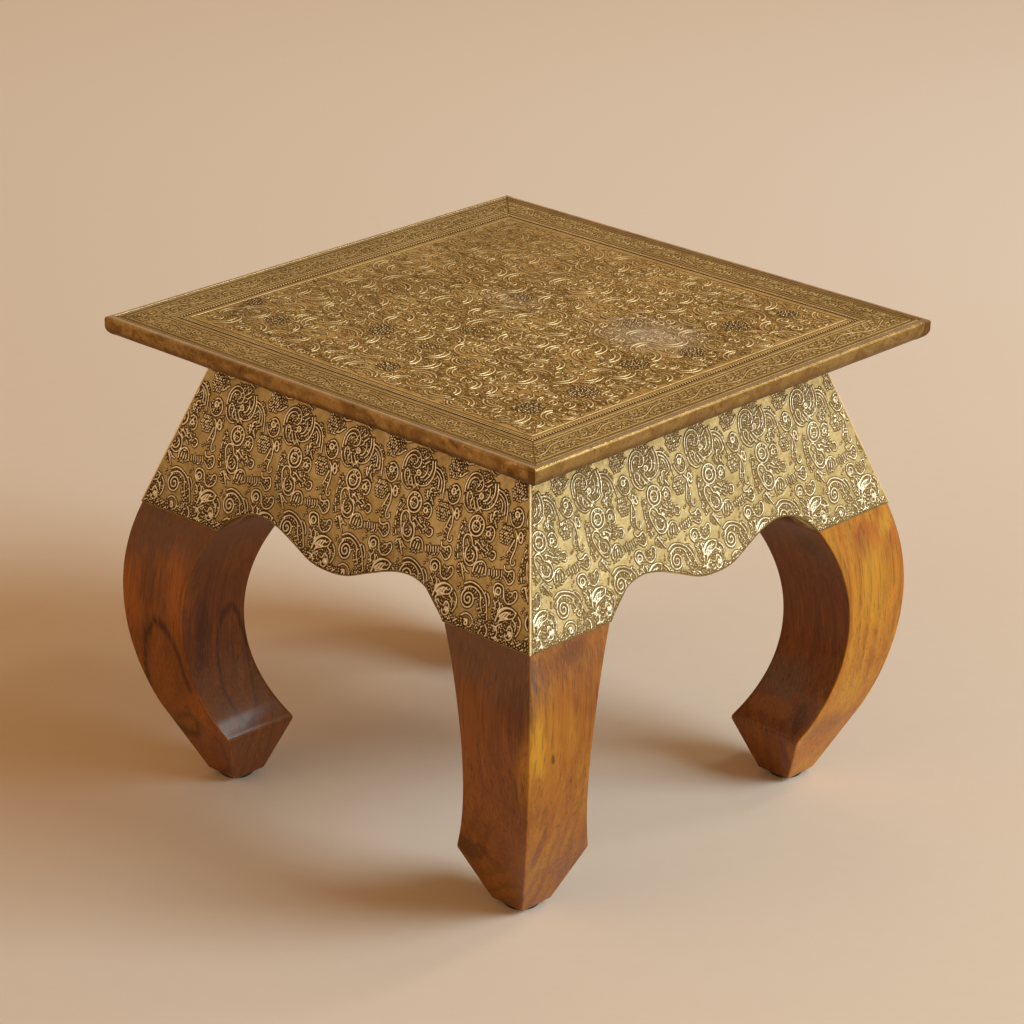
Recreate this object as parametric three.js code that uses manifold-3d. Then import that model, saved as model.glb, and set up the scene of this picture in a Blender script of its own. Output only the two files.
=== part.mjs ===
// Low square table: four bowed legs, leaning aprons, a boarded top, and embossed brass over all
// but the lower legs. Millimetres, +Z up, origin on the floor under the middle of the top.
// The front is towards -Y. What is drawn for the front is turned about Z for the other sides.
import * as THREE from 'three';
import { mergeVertices } from 'three/addons/utils/BufferGeometryUtils.js';
import Module from 'manifold-3d';

const wasm = await Module();
wasm.setup();

// Overall sizes
const topSide = 450;
const tableHeight = 388;
const slabThickness = 15.5;

// Brass sheet, the room in a joint, how far a cut runs past a face, and steps in a curve
const brassThickness = 0.8;
const glueGap = 0.3;
const overrun = 4;
const curveSteps = 6;

// Top: boards, the brass round their edge, and the strips round the field
const plankCount = 4;
const arrisRadius = 2.5;
const underRadius = 8;
const edgeFlange = 5;
const underFlange = 14;
const borderWidth = 37;

// Legs: a half is measured from the table's middle plane out to a face
const brassEdgeHeight = 235.5;
const legTopHalf = 159;
const bellyHalf = 219.2;
const bellyHeight = 163;
const hipRadius = 220;
const bellyRadius = 275;
const toeHeight = 60;
const soleOuterHalf = 172.6;
const soleInnerHalf = 141.6;
const hollowHalf = 151.3;
const hollowHeight = 140;
const hollowRadius = 165;
const toeTipHeight = 49;

// Aprons and their tenons
const apronThickness = 20;
const pendantHeight = 238.2;
const archRise = 19;
const tenonLength = 14;
const tenonHeight = 56;
const tenonThickness = 9;
const tenonPlaceShare = 0.56;

// Half of the apron's lower edge, from the drop in its middle towards the leg: [along, up] as
// shares of the half span and of the rise of the arch
const apronEdgeShares = [
  [0, 0], [0.16, 0.1], [0.33, 0.49], [0.5, 0.86], [0.65, 1], [0.79, 0.84], [0.91, 0.43],
];

// Cleats that hold the top to the aprons, and their countersunk screws
const cleatLength = 190;
const cleatDepth = 20;
const cleatHeight = 22;
const topScrewInset = 23;
const apronScrewInset = 53;
const screwHeadRadius = 4;
const screwHeadRim = 0.5;
const screwHeadDepth = 2.6;
const screwShankRadius = 2;
const screwPointLength = 3;
const screwBite = 9.5;
const screwSides = 12;

// Round glides nailed under the feet
const glideRadius = 13.5;
const glideThickness = 3;
const glideRound = 0.8;
const glideSides = 32;
const nailHeadRadius = 4.4;
const nailHeadThickness = 1;
const nailShankRadius = 1.3;
const nailLength = 18;
const nailPointLength = 3;
const nailSink = 0.9;

// Heights, slopes and places that follow
const topHalf = topSide / 2;
const slabUnder = tableHeight - slabThickness;
const frameTop = slabUnder + brassThickness;
const soleHeight = glideThickness + glueGap;
const hipHalf = bellyHalf - bow(hipRadius, brassEdgeHeight - bellyHeight);
const postHalf = hollowHalf - bow(hollowRadius, brassEdgeHeight - hollowHeight);
const lean = (hipHalf - legTopHalf) / (frameTop - brassEdgeHeight);
const leanStretch = Math.hypot(1, lean);
const apronDepth = apronThickness * leanStretch;
const cleatHeel = apronInside(frameTop) + glueGap * leanStretch + cleatDepth;
const footHalf = (soleInnerHalf + soleOuterHalf) / 2;

// How far an arc has curved away, at a height above or below its widest point
function bow(radius, height) {
  return radius - Math.sqrt(radius * radius - height * height);
}

// The y of the front apron's outer and inner faces at a height
function apronFace(height) {
  return -hipHalf + lean * (height - brassEdgeHeight);
}

function apronInside(height) {
  return apronFace(height) + apronDepth;
}

// Solids that can be cut and joined

function solidFrom(geometry) {
  const bare = geometry.clone();
  bare.deleteAttribute('normal');
  bare.deleteAttribute('uv');
  const merged = mergeVertices(bare);
  const corners = merged.index.array;
  const triangles = [];
  for (let first = 0; first < corners.length; first += 3) {
    const [a, b, c] = corners.slice(first, first + 3);
    if (a !== b && b !== c && c !== a) {
      triangles.push(a, b, c);
    }
  }
  return new wasm.Manifold(new wasm.Mesh({
    numProp: 3,
    vertProperties: new Float32Array(merged.attributes.position.array),
    triVerts: new Uint32Array(triangles),
  }));
}

function geometryFrom(solid) {
  const mesh = solid.getMesh();
  const geometry = new THREE.BufferGeometry();
  const places = new Float32Array(mesh.vertProperties);
  geometry.setAttribute('position', new THREE.BufferAttribute(places, 3));
  geometry.setIndex(new THREE.BufferAttribute(new Uint32Array(mesh.triVerts), 1));
  const facets = geometry.toNonIndexed();
  facets.computeVertexNormals();
  return facets;
}

function outline(points) {
  return new THREE.Shape(points.map(([x, y]) => new THREE.Vector2(x, y)));
}

function rectangle(x0, y0, x1, y1) {
  return outline([[x0, y0], [x1, y0], [x1, y1], [x0, y1]]);
}

// An outline drawn in X and Y, run up from a height
function alongZ(shape, height, depth) {
  return new THREE.ExtrudeGeometry(shape, { depth, bevelEnabled: false }).translate(0, 0, height);
}

// An outline drawn in X and Z, run back from the plane y = face
function alongY(shape, face, depth) {
  return alongZ(shape, 0, depth).rotateX(Math.PI / 2).translate(0, face + depth, 0);
}

// An outline drawn in Y and Z, run from x = start
function alongX(shape, start, depth) {
  const swap = new THREE.Matrix4().makeBasis(
    new THREE.Vector3(0, 1, 0), new THREE.Vector3(0, 0, 1), new THREE.Vector3(1, 0, 0));
  return alongZ(shape, start, depth).applyMatrix4(swap);
}

function quarterTurned(geometry) {
  return geometry.clone().rotateZ(Math.PI / 2);
}

// Leans an upright board back as the apron leans, turning about the brass edge's height
function leant(geometry) {
  const shear = new THREE.Matrix4().set(
    1, 0, 0, 0,
    0, 1, lean, -lean * brassEdgeHeight,
    0, 0, 1, 0,
    0, 0, 0, 1);
  return geometry.applyMatrix4(shear);
}

// The space in front of both diagonals, half a joint back from them, for mitred ends
function mitreWedge() {
  const reach = topSide;
  const back = glueGap * Math.SQRT1_2;
  const plan = outline([[0, -back], [-reach, -reach - back], [reach, -reach - back]]);
  return solidFrom(alongZ(plan, -overrun, tableHeight + 2 * overrun));
}

// Top

// Rounded edge of the slab, pulled in by an inset: [out, height] points from the upper face over
// the arris and down round to the underside
function edgeSection(inset) {
  const arcs = [
    [topHalf - arrisRadius, tableHeight - arrisRadius, arrisRadius - inset, Math.PI / 2],
    [topHalf - underRadius, slabUnder + underRadius, underRadius - inset, 0],
  ];
  const points = [];
  for (const [out, height, radius, start] of arcs) {
    for (let step = 0; step <= curveSteps; step += 1) {
      const angle = start - (Math.PI / 2) * step / curveSteps;
      points.push([out + radius * Math.cos(angle), height + radius * Math.sin(angle)]);
    }
  }
  return points;
}

function slabCore() {
  const right = edgeSection(brassThickness + glueGap);
  const left = right.map(([out, height]) => [-out, height]).reverse();
  const section = alongX(outline([...right, ...left]), -topHalf, topSide);
  return solidFrom(section).intersect(solidFrom(quarterTurned(section)));
}

function plank(core, index) {
  const width = topSide / plankCount;
  const start = -topHalf + index * width;
  const room = glueGap / 2;
  const slot = rectangle(start + room, -topHalf, start + width - room, topHalf);
  return geometryFrom(core.intersect(solidFrom(alongZ(slot, 0, tableHeight))));
}

function fieldSheet() {
  const half = topHalf - edgeFlange - borderWidth - 2 * glueGap;
  const plan = rectangle(-half, -half, half, half);
  return alongZ(plan, tableHeight - brassThickness, brassThickness);
}

function borderStrip(wedge) {
  const outer = topHalf - edgeFlange - glueGap;
  const plan = rectangle(-topHalf, -outer, topHalf, -outer + borderWidth);
  const strip = alongZ(plan, tableHeight - brassThickness, brassThickness);
  return geometryFrom(solidFrom(strip).intersect(wedge));
}

function edgeStrip(wedge) {
  const lip = topHalf - edgeFlange;
  const heel = topHalf - underFlange;
  const outside = [[lip, tableHeight], ...edgeSection(0), [heel, slabUnder]];
  const inside = [
    [lip, tableHeight - brassThickness],
    ...edgeSection(brassThickness),
    [heel, slabUnder + brassThickness],
  ];
  const profile = [...outside, ...inside.reverse()].map(([out, height]) => [-out, height]);
  return geometryFrom(solidFrom(alongX(outline(profile), -topHalf, topSide)).intersect(wedge));
}

// Legs

// One view of a leg as [out, height]; a leg is sawn to it from the front and from the side
function legView() {
  const view = new THREE.Shape();
  const toeAngle = Math.asin((toeHeight - bellyHeight) / bellyRadius);
  const hipAngle = Math.asin((brassEdgeHeight - bellyHeight) / hipRadius);
  const postAngle = Math.asin((brassEdgeHeight - hollowHeight) / hollowRadius);
  const tipAngle = Math.asin((toeTipHeight - hollowHeight) / hollowRadius);
  view.moveTo(soleInnerHalf, soleHeight);
  view.lineTo(soleOuterHalf, soleHeight);
  view.absarc(bellyHalf - bellyRadius, bellyHeight, bellyRadius, toeAngle, 0, false);
  view.absarc(bellyHalf - hipRadius, bellyHeight, hipRadius, 0, hipAngle, false);
  view.lineTo(legTopHalf, frameTop);
  view.lineTo(postHalf, frameTop);
  view.absarc(hollowHalf - hollowRadius, hollowHeight, hollowRadius, postAngle, tipAngle, true);
  return view.getPoints(curveSteps).map(({ x, y }) => [x, y]);
}

// The leg at the right end of the front
function legSolid() {
  const view = legView();
  const reach = bellyHalf + overrun;
  const fromFront = alongY(outline(view), -reach, reach);
  const fromSide = alongX(outline(view.map(([out, height]) => [-out, height])), 0, reach);
  const mortises = [
    solidFrom(tenon(1, glueGap)),
    solidFrom(quarterTurned(tenon(-1, glueGap))),
  ];
  const nailHole = solidFrom(nail(glueGap).translate(footHalf, -footHalf, nailSink));
  let leg = solidFrom(fromFront).intersect(solidFrom(fromSide));
  for (const cut of [...mortises, nailHole]) {
    leg = leg.subtract(cut);
  }
  return geometryFrom(leg);
}

// Aprons

// Lower edge of an apron, from its left end to its right one
function apronEdge(halfSpan) {
  const right = apronEdgeShares.map(
    ([along, up]) => new THREE.Vector2(along * halfSpan, pendantHeight + up * archRise));
  right.push(new THREE.Vector2(halfSpan, brassEdgeHeight));
  const left = right.slice(1).map(({ x, y }) => new THREE.Vector2(-x, y)).reverse();
  const knots = [...left, ...right];
  const curve = new THREE.SplineCurve(knots).getPoints((knots.length - 1) * curveSteps / 2);
  return curve.map(({ x, y }) => [x, y]);
}

// Stub tenon at one end of an apron, with room all round for its mortise
function tenon(side, room) {
  const middle = brassEdgeHeight + tenonPlaceShare * (frameTop - brassEdgeHeight);
  const rise = tenonHeight / 2 + room;
  const thickness = tenonThickness + 2 * room;
  const root = side * (postHalf - overrun);
  const end = side * (postHalf + tenonLength + room);
  const cheek = rectangle(root, middle - rise, end, middle + rise);
  return leant(alongY(cheek, -hipHalf + (apronDepth - thickness) / 2, thickness));
}

function apronBoard(cuts) {
  const halfSpan = postHalf - glueGap;
  const face = outline([...apronEdge(halfSpan), [halfSpan, frameTop], [-halfSpan, frameTop]]);
  let board = solidFrom(leant(alongY(face, -hipHalf, apronDepth)));
  for (const side of [-1, 1]) {
    board = board.add(solidFrom(tenon(side, 0)));
  }
  for (const cut of cuts) {
    board = board.subtract(cut);
  }
  return geometryFrom(board);
}

// Brass over an apron and the two legs beside it, bent up from one flat sheet
function apronSheet(wedge) {
  const depth = brassThickness * leanStretch;
  const standOff = glueGap * leanStretch;
  const face = outline([
    [-topHalf, brassEdgeHeight], ...apronEdge(postHalf), [topHalf, brassEdgeHeight],
    [topHalf, frameTop], [-topHalf, frameTop],
  ]);
  const sheet = leant(alongY(face, -hipHalf - standOff - depth, depth));
  return geometryFrom(solidFrom(sheet).intersect(wedge));
}

// Cleats, screws, glides and nails

function cleat(cuts) {
  const foot = frameTop - cleatHeight;
  const gap = glueGap * leanStretch;
  const section = outline([
    [apronInside(foot) + gap, foot], [cleatHeel, foot],
    [cleatHeel, frameTop], [apronInside(frameTop) + gap, frameTop],
  ]);
  let batten = solidFrom(alongX(section, -cleatLength / 2, cleatLength));
  for (const cut of cuts) {
    batten = batten.subtract(cut);
  }
  return geometryFrom(batten);
}

function turned(points, sides) {
  const profile = points.map(([radius, along]) => new THREE.Vector2(radius, along));
  return new THREE.LatheGeometry(profile, sides).rotateX(Math.PI / 2);
}

// Countersunk screw standing on its head; with room it is the hole it needs
function screw(length, room) {
  const head = room > 0 ? -overrun : 0;
  return turned([
    [0, head], [screwHeadRadius + room, head], [screwHeadRadius + room, screwHeadRim],
    [screwShankRadius + room, screwHeadDepth], [screwShankRadius + room, length - screwPointLength],
    [0, length + 2 * room],
  ], screwSides);
}

function nail(room) {
  const head = room > 0 ? -overrun : 0;
  const shoulder = nailHeadThickness + room;
  return turned([
    [0, head], [nailHeadRadius + room, head], [nailHeadRadius + room, shoulder],
    [nailShankRadius + room, shoulder], [nailShankRadius + room, nailLength - nailPointLength],
    [0, nailLength + 2 * room],
  ], screwSides);
}

function glide() {
  const body = turned([
    [0, 0], [glideRadius - glideRound, 0], [glideRadius, glideRound],
    [glideRadius, glideThickness], [0, glideThickness],
  ], glideSides);
  return geometryFrom(solidFrom(body).subtract(solidFrom(nail(glueGap).translate(0, 0, nailSink))));
}

// Screws of the front cleat: name, place of the head, turn about X that points them, length
function cleatScrews() {
  const foot = frameTop - cleatHeight;
  const middle = frameTop - cleatHeight / 2;
  const upLength = cleatHeight + glueGap + screwBite;
  const outLength = cleatHeel - apronInside(middle) + screwBite;
  const list = [];
  for (const [end, side] of [['left', -1], ['right', 1]]) {
    const overTop = [side * (cleatLength / 2 - topScrewInset), cleatHeel - cleatDepth / 2, foot];
    const intoApron = [side * (cleatLength / 2 - apronScrewInset), cleatHeel, middle];
    list.push({ name: `top_screw_${end}`, place: overTop, turn: 0, length: upLength });
    list.push({ name: `apron_screw_${end}`, place: intoApron, turn: Math.PI / 2, length: outLength });
  }
  return list;
}

function screwHole({ place, turn, length }) {
  return solidFrom(screw(length, glueGap).rotateX(turn).translate(...place));
}

// The table put together

function piece(parent, name, geometry, finish) {
  const mesh = new THREE.Mesh(geometry, new THREE.MeshStandardMaterial(finish));
  mesh.name = name;
  parent.add(mesh);
  return mesh;
}

const finishes = {
  embossedBrass: { color: 0xa8843f, roughness: 0.38, metalness: 1 },
  plainBrass: { color: 0x9a7538, roughness: 0.34, metalness: 1 },
  legWood: { color: 0x8a4a1f, roughness: 0.4, metalness: 0 },
  boardWood: { color: 0x9c7448, roughness: 0.7, metalness: 0 },
  screwSteel: { color: 0x8d8f92, roughness: 0.35, metalness: 1 },
  glidePlastic: { color: 0x241d19, roughness: 0.6, metalness: 0 },
};

const table = new THREE.Group();
const wedge = mitreWedge();
const screws = cleatScrews();
const holes = screws.map(screwHole);
const sides = ['front', 'right', 'back', 'left'];
const corners = ['front_right', 'back_right', 'back_left', 'front_left'];

let core = slabCore();
for (let quarter = 0; quarter < sides.length; quarter += 1) {
  for (const { place, turn, length } of screws.filter((each) => each.turn === 0)) {
    const hole = screw(length, glueGap).rotateX(turn).translate(...place);
    core = core.subtract(solidFrom(hole.rotateZ(quarter * Math.PI / 2)));
  }
}
for (let index = 0; index < plankCount; index += 1) {
  piece(table, `top_plank_${index + 1}`, plank(core, index), finishes.boardWood);
}
piece(table, 'top_field_sheet', fieldSheet(), finishes.embossedBrass);

sides.forEach((side, quarter) => {
  const group = new THREE.Group();
  const corner = corners[quarter];
  group.rotation.z = quarter * Math.PI / 2;
  table.add(group);
  piece(group, `top_border_${side}`, borderStrip(wedge), finishes.embossedBrass);
  piece(group, `edge_strip_${side}`, edgeStrip(wedge), finishes.plainBrass);
  piece(group, `leg_${corner}`, legSolid(), finishes.legWood);
  piece(group, `apron_board_${side}`, apronBoard(holes), finishes.boardWood);
  piece(group, `apron_sheet_${side}`, apronSheet(wedge), finishes.embossedBrass);
  piece(group, `cleat_${side}`, cleat(holes), finishes.boardWood);
  for (const { name, place, turn, length } of screws) {
    const mesh = piece(group, `${name}_${side}`, geometryFrom(solidFrom(screw(length, 0))),
      finishes.screwSteel);
    mesh.position.set(...place);
    mesh.rotation.x = turn;
  }
  const pad = piece(group, `foot_glide_${corner}`, glide(), finishes.glidePlastic);
  pad.position.set(footHalf, -footHalf, 0);
  const pin = piece(group, `glide_nail_${corner}`, geometryFrom(solidFrom(nail(0))),
    finishes.screwSteel);
  pin.position.set(footHalf, -footHalf, nailSink);
});

export default table;
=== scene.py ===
from math import cos, hypot, pi, radians, sin

import bpy
import numpy as np
from mathutils import Matrix, Vector


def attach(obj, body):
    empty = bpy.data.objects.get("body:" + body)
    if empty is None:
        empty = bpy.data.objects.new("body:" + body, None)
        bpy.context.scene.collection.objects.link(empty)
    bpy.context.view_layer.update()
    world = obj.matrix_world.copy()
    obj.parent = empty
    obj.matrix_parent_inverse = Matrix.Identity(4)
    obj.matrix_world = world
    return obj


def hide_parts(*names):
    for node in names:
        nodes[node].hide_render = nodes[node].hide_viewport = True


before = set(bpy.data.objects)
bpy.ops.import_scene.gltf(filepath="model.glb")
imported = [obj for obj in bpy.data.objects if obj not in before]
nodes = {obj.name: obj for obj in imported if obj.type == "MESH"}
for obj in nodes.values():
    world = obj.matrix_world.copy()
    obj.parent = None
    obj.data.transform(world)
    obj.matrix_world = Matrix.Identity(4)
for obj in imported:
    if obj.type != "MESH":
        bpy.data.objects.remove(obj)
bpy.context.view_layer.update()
mm = 0.001
sides = ("front", "right", "back", "left")
corners = ("front_right", "back_right", "back_left", "front_left")

# The table's own sizes in millimetres, the same as in the CAD source
table = {
    "topHalf": 225.0, "height": 388.0, "slab": 15.5, "brass": 0.8, "gap": 0.3,
    "arris": 2.5, "underRound": 8.0, "topFlange": 5.0, "underFlange": 14.0,
    "brassEdge": 235.5, "legTopHalf": 159.0, "bellyHalf": 219.2, "bellyHeight": 163.0,
    "hipRadius": 220.0, "bellyRadius": 275.0, "toeHeight": 60.0, "soleOuter": 172.6,
    "soleInner": 141.6, "hollowHalf": 151.3, "hollowHeight": 140.0, "hollowRadius": 165.0,
    "tipHeight": 49.0, "pendant": 238.2, "archRise": 19.0, "glide": 3.0, "apronThick": 20.0,
    "cleatWide": 20.0, "cleatTall": 22.0,
    # a scallop of the aprons' lower edge: share of the way out, share of the rise
    "apronEdge": [[0, 0], [0.16, 0.1], [0.33, 0.49], [0.5, 0.86], [0.65, 1], [0.79, 0.84],
                  [0.91, 0.43]],
}


def bow(radius, rise):
    return radius - np.sqrt(np.maximum(radius * radius - rise * rise, 0))


slabUnder = table["height"] - table["slab"]
frameTop = slabUnder + table["brass"]
soleHeight = table["glide"] + table["gap"]
hipHalf = table["bellyHalf"] - bow(table["hipRadius"], table["brassEdge"] - table["bellyHeight"])
postHalf = table["hollowHalf"] - bow(table["hollowRadius"], table["brassEdge"] - table["hollowHeight"])
lean = (hipHalf - table["legTopHalf"]) / (frameTop - table["brassEdge"])
leanStretch = hypot(1, lean)
sheetHalf = hipHalf + (table["gap"] + table["brass"]) * leanStretch


# Small helpers

def limited(value, high=1.0):
    return np.clip(value, 0, high)


def sheetHalfAt(height):
    # how far out an apron sheet stands at a height
    return sheetHalf - lean * (height - table["brassEdge"])


def quarterTurn(places, side):
    # the front side's points carried round to another side
    c, s = [(1, 0), (0, 1), (-1, 0), (0, -1)][side]
    turned = np.array(places, float)
    x, y = places[..., 0], places[..., 1]
    turned[..., 0], turned[..., 1] = c * x - s * y, s * x + c * y
    return turned


def buildPiece(name, places, quads, triangles, material, stands, values, flats, islands):
    # places are in millimetres; values are point attributes; flats marks faces with hard edges;
    # islands is where each point lies on the bake map
    ends = np.concatenate([quads.ravel(), triangles.ravel()]).astype(np.int32)
    starts = np.concatenate([np.arange(len(quads)) * 4, quads.size + np.arange(len(triangles)) * 3])
    mesh = bpy.data.meshes.new(name)
    mesh.vertices.add(len(places))
    mesh.vertices.foreach_set("co", (places * mm).astype(np.float32).ravel())
    mesh.loops.add(len(ends))
    mesh.loops.foreach_set("vertex_index", ends)
    mesh.polygons.add(len(starts))
    mesh.polygons.foreach_set("loop_start", starts.astype(np.int32))
    mesh.update(calc_edges=True)
    mesh.polygons.foreach_set("use_smooth", ~flats)
    for key, numbers in values.items():
        layer = mesh.attributes.new(key, "FLOAT", "POINT")
        layer.data.foreach_set("value", numbers.astype(np.float32))
    bakeMap = mesh.uv_layers.new(name="OFBake")
    bakeMap.data.foreach_set("uv", islands.astype(np.float32)[ends].ravel())
    piece = bpy.data.objects.new(name, mesh)
    bpy.context.scene.collection.objects.link(piece)
    finishPiece(piece, material, stands)


def finishPiece(piece, material, stands):
    piece.data.materials.clear()
    piece.data.materials.append(material)
    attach(piece, "root")
    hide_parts(*stands)


# Node helpers: each works on the tree at hand

bench = {"tree": None}


class Wire:
    # one output of a node: + - * / add Math nodes, and wire["Name"] is another output of its node
    def __init__(self, socket):
        self.socket = socket

    def __getitem__(self, name):
        return Wire(self.socket.node.outputs[name])

    def __add__(self, other):
        return maths("ADD", self, other)

    def __sub__(self, other):
        return maths("SUBTRACT", self, other)

    def __rsub__(self, other):
        return maths("SUBTRACT", other, self)

    def __mul__(self, other):
        return maths("MULTIPLY", self, other)

    def __truediv__(self, other):
        return maths("DIVIDE", self, other)


def node(kind, inputs=None, out=0, **settings):
    # an input is a plain value, a wire or a list of wires
    tree = bench["tree"]
    made = tree.nodes.new(kind)
    for key, value in settings.items():
        setattr(made, key, value)
    for key, value in (inputs or {}).items():
        if isinstance(value, (Wire, list)):
            for wire in value if isinstance(value, list) else [value]:
                tree.links.new(wire.socket, made.inputs[key])
        else:
            made.inputs[key].default_value = value
    return Wire(made.outputs[out]) if made.outputs else None


def newMaterial(name):
    material = bpy.data.materials.new(name)
    material.use_nodes = True
    bench["tree"] = material.node_tree
    bench["tree"].nodes.clear()
    return material, node("ShaderNodeTexCoord", out="Object")


def closeMaterial(material, inputs, relief=None):
    # relief is the bump's height, its distance in metres and its strength
    if relief:
        inputs["Normal"] = node("ShaderNodeBump", dict(zip(("Height", "Distance", "Strength"), relief)))
    node("ShaderNodeOutputMaterial", {"Surface": node("ShaderNodeBsdfPrincipled", inputs)})
    return material


def noise(coords, scale, detail=3.0, roughness=0.55, distortion=0.0):
    return node("ShaderNodeTexNoise", {"Vector": coords, "Scale": scale, "Detail": detail,
                                       "Roughness": roughness, "Distortion": distortion}, out="Fac")


def maths(operation, a, b=0.0, c=0.0):
    return node("ShaderNodeMath", {0: a, 1: b, 2: c}, operation=operation)


def spread(value, low, high, toLow=0.0, toHigh=1.0):
    return node("ShaderNodeMapRange", {"Value": value, "From Min": low, "From Max": high, "To Min": toLow,
                                       "To Max": toHigh}, interpolation_type="SMOOTHSTEP")


def blend(share, a, b):
    # from colour a to colour b
    a, b = (colour if isinstance(colour, Wire) else (*colour, 1.0) for colour in (a, b))
    return node("ShaderNodeMix", {0: share, 6: a, 7: b}, out=2, data_type="RGBA")


def stretched(coords, scale, place=(0, 0, 0), turn=(0, 0, 0)):
    return node("ShaderNodeMapping", {"Vector": coords, "Location": place, "Rotation": turn, "Scale": scale})


def attribute(name):
    return node("ShaderNodeAttribute", out="Fac", attribute_name=name)


# Materials

brassLook = {
    "goldLight": (0.53, 0.385, 0.175), "goldDeep": (0.39, 0.27, 0.105), "rust": (0.29, 0.165, 0.05),
    "crest": (0.97, 0.85, 0.60), "groove": (0.080, 0.034, 0.004), "recess": (0.30, 0.19, 0.06),
    "worn": (0.60, 0.55, 0.46), "crestRough": 0.24, "goldRough": 0.42, "grooveRough": 0.6,
    "grooveDepth": 0.88, "grooveWidth": 1.0, "recessDepth": 0.75, "crestShare": 0.92, "wornRough": 0.0,
    "patchScale": 17.0, "mottleScale": 95.0, "speckleScale": 420.0, "gritScale": 1500.0, "relief": 0.0008,
}


def embossedBrass(name, changes):
    # the sheets' attributes: distance to the nearest line, closeness of the lines, wear with painted
    # highlight, soot with painted shade, and fading
    look = {**brassLook, **changes}
    material, coords = newMaterial(name)
    near, dense, rub, soot, fade = map(attribute, ("near", "dense", "rub", "soot", "fade"))
    patches = noise(coords, look["patchScale"], 4.0, 0.6, 0.6)
    speckle = noise(coords, look["speckleScale"], 3.0, 0.65)
    grit = noise(coords, look["gritScale"], 2.0, 0.6)
    shaken = near + (grit - 0.5) * 0.5
    mottle = noise(coords, look["mottleScale"], 4.0, 0.68, 0.8)
    cloudy = patches * 0.5 + mottle * 0.5
    gold = blend(spread(cloudy, 0.4, 0.6), look["goldLight"], look["goldDeep"])
    gold = blend(spread(mottle, 0.56, 0.74, 0.0, 0.55), gold, look["rust"])
    gold = blend(spread(speckle, 0.56, 0.74, 0.0, 0.5), gold, look["rust"])
    gold = blend(rub * 0.85, gold, look["worn"])
    # the raised crests are lightened towards a pale gold: partly polish, partly a painted highlight for the
    # lit relief
    crest = spread(shaken, 0.16, -0.22) * look["crestShare"]
    below = spread(shaken, -0.06, 0.22)
    outline = spread(shaken, look["grooveWidth"], 0.5) * look["grooveDepth"]
    hollow = spread(dense, 0.22, 0.42) * look["recessDepth"]
    dull = spread(rub, 0.0, 1.0, 1.0, 0.3) * spread(fade, 0.0, 1.0, 1.0, 0.5)
    crest = crest * spread(fade, 0.0, 1.0, 1.0, 0.3)
    outline = outline * below * dull
    hollow = hollow * below * dull
    colour = blend(crest, gold, look["crest"])
    colour = blend(hollow, colour, look["recess"])
    colour = blend(outline, colour, look["groove"])
    colour = blend(soot * 0.75, colour, look["groove"])
    dark = maths("MAXIMUM", maths("MAXIMUM", outline, hollow), soot * 0.75)
    rough = spread(speckle, 0.3, 0.75, look["goldRough"] - 0.06, look["goldRough"] + 0.1)
    rough = node("ShaderNodeMix", {0: crest, 2: rough, 3: look["crestRough"]})
    rough = node("ShaderNodeMix", {0: dark, 2: rough, 3: look["grooveRough"]})
    rough = rough + rub * look["wornRough"]
    lift = spread(near, 0.45, -0.5, 0.0, 0.8) * spread(fade, 0.5, 0.75, 1.0, 0.5)
    lift = lift * spread(rub, 0.1, 0.8, 1.0, 0.45)
    pits = grit * 0.16
    dents = speckle * 0.2 + mottle * 0.5
    height = lift + (pits + dents)
    return closeMaterial(material, {"Base Color": colour, "Roughness": rough, "Metallic": 1.0},
                         (height, look["relief"], 0.7))


edgeLook = {"light": (0.37, 0.24, 0.083), "deep": (0.26, 0.15, 0.043), "bloom": (0.48, 0.33, 0.12),
            "stain": (0.12, 0.058, 0.016), "rough": 0.36, "patchScale": 24.0, "cloudScale": 85.0,
            "speckScale": 330.0, "gritScale": 900.0, "relief": 0.0004}


def plainBrass(name, changes):
    look = {**edgeLook, **changes}
    material, coords = newMaterial(name)
    patches = noise(stretched(coords, (1, 1, 1.6)), look["patchScale"], 5.0, 0.62, 1.4)
    clouds = noise(coords, look["cloudScale"], 5.0, 0.66, 1.0)
    specks = noise(coords, look["speckScale"], 3.0, 0.6)
    grit = noise(coords, look["gritScale"], 3.0, 0.6)
    rub, soot = attribute("rub"), attribute("soot")
    colour = blend(spread(patches, 0.36, 0.64), look["light"], look["deep"])
    colour = blend(spread(clouds, 0.52, 0.7, 0.0, 0.6), colour, look["bloom"])
    colour = blend(spread(clouds, 0.46, 0.3, 0.0, 0.75), colour, look["stain"])
    colour = blend(spread(specks, 0.58, 0.72, 0.0, 0.6), colour, look["stain"])
    # painted shade and the tabs' darkening, broken up by the clouds
    sooty = soot * spread(clouds, 0.3, 0.6, 1.0, 0.75)
    colour = blend(sooty, colour, look["stain"])
    # rubbed places take the pale crest colour: partly polish, partly a painted highlight
    colour = blend(rub, colour, brassLook["crest"])
    rough = spread(grit, 0.3, 0.75, look["rough"] - 0.07, look["rough"] + 0.16)
    rough = rough - rub * 0.2
    height = clouds * 1.6 + grit * 0.25
    return closeMaterial(material, {"Base Color": colour, "Roughness": rough, "Metallic": 1.0},
                         (height, look["relief"], 0.6))


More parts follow.
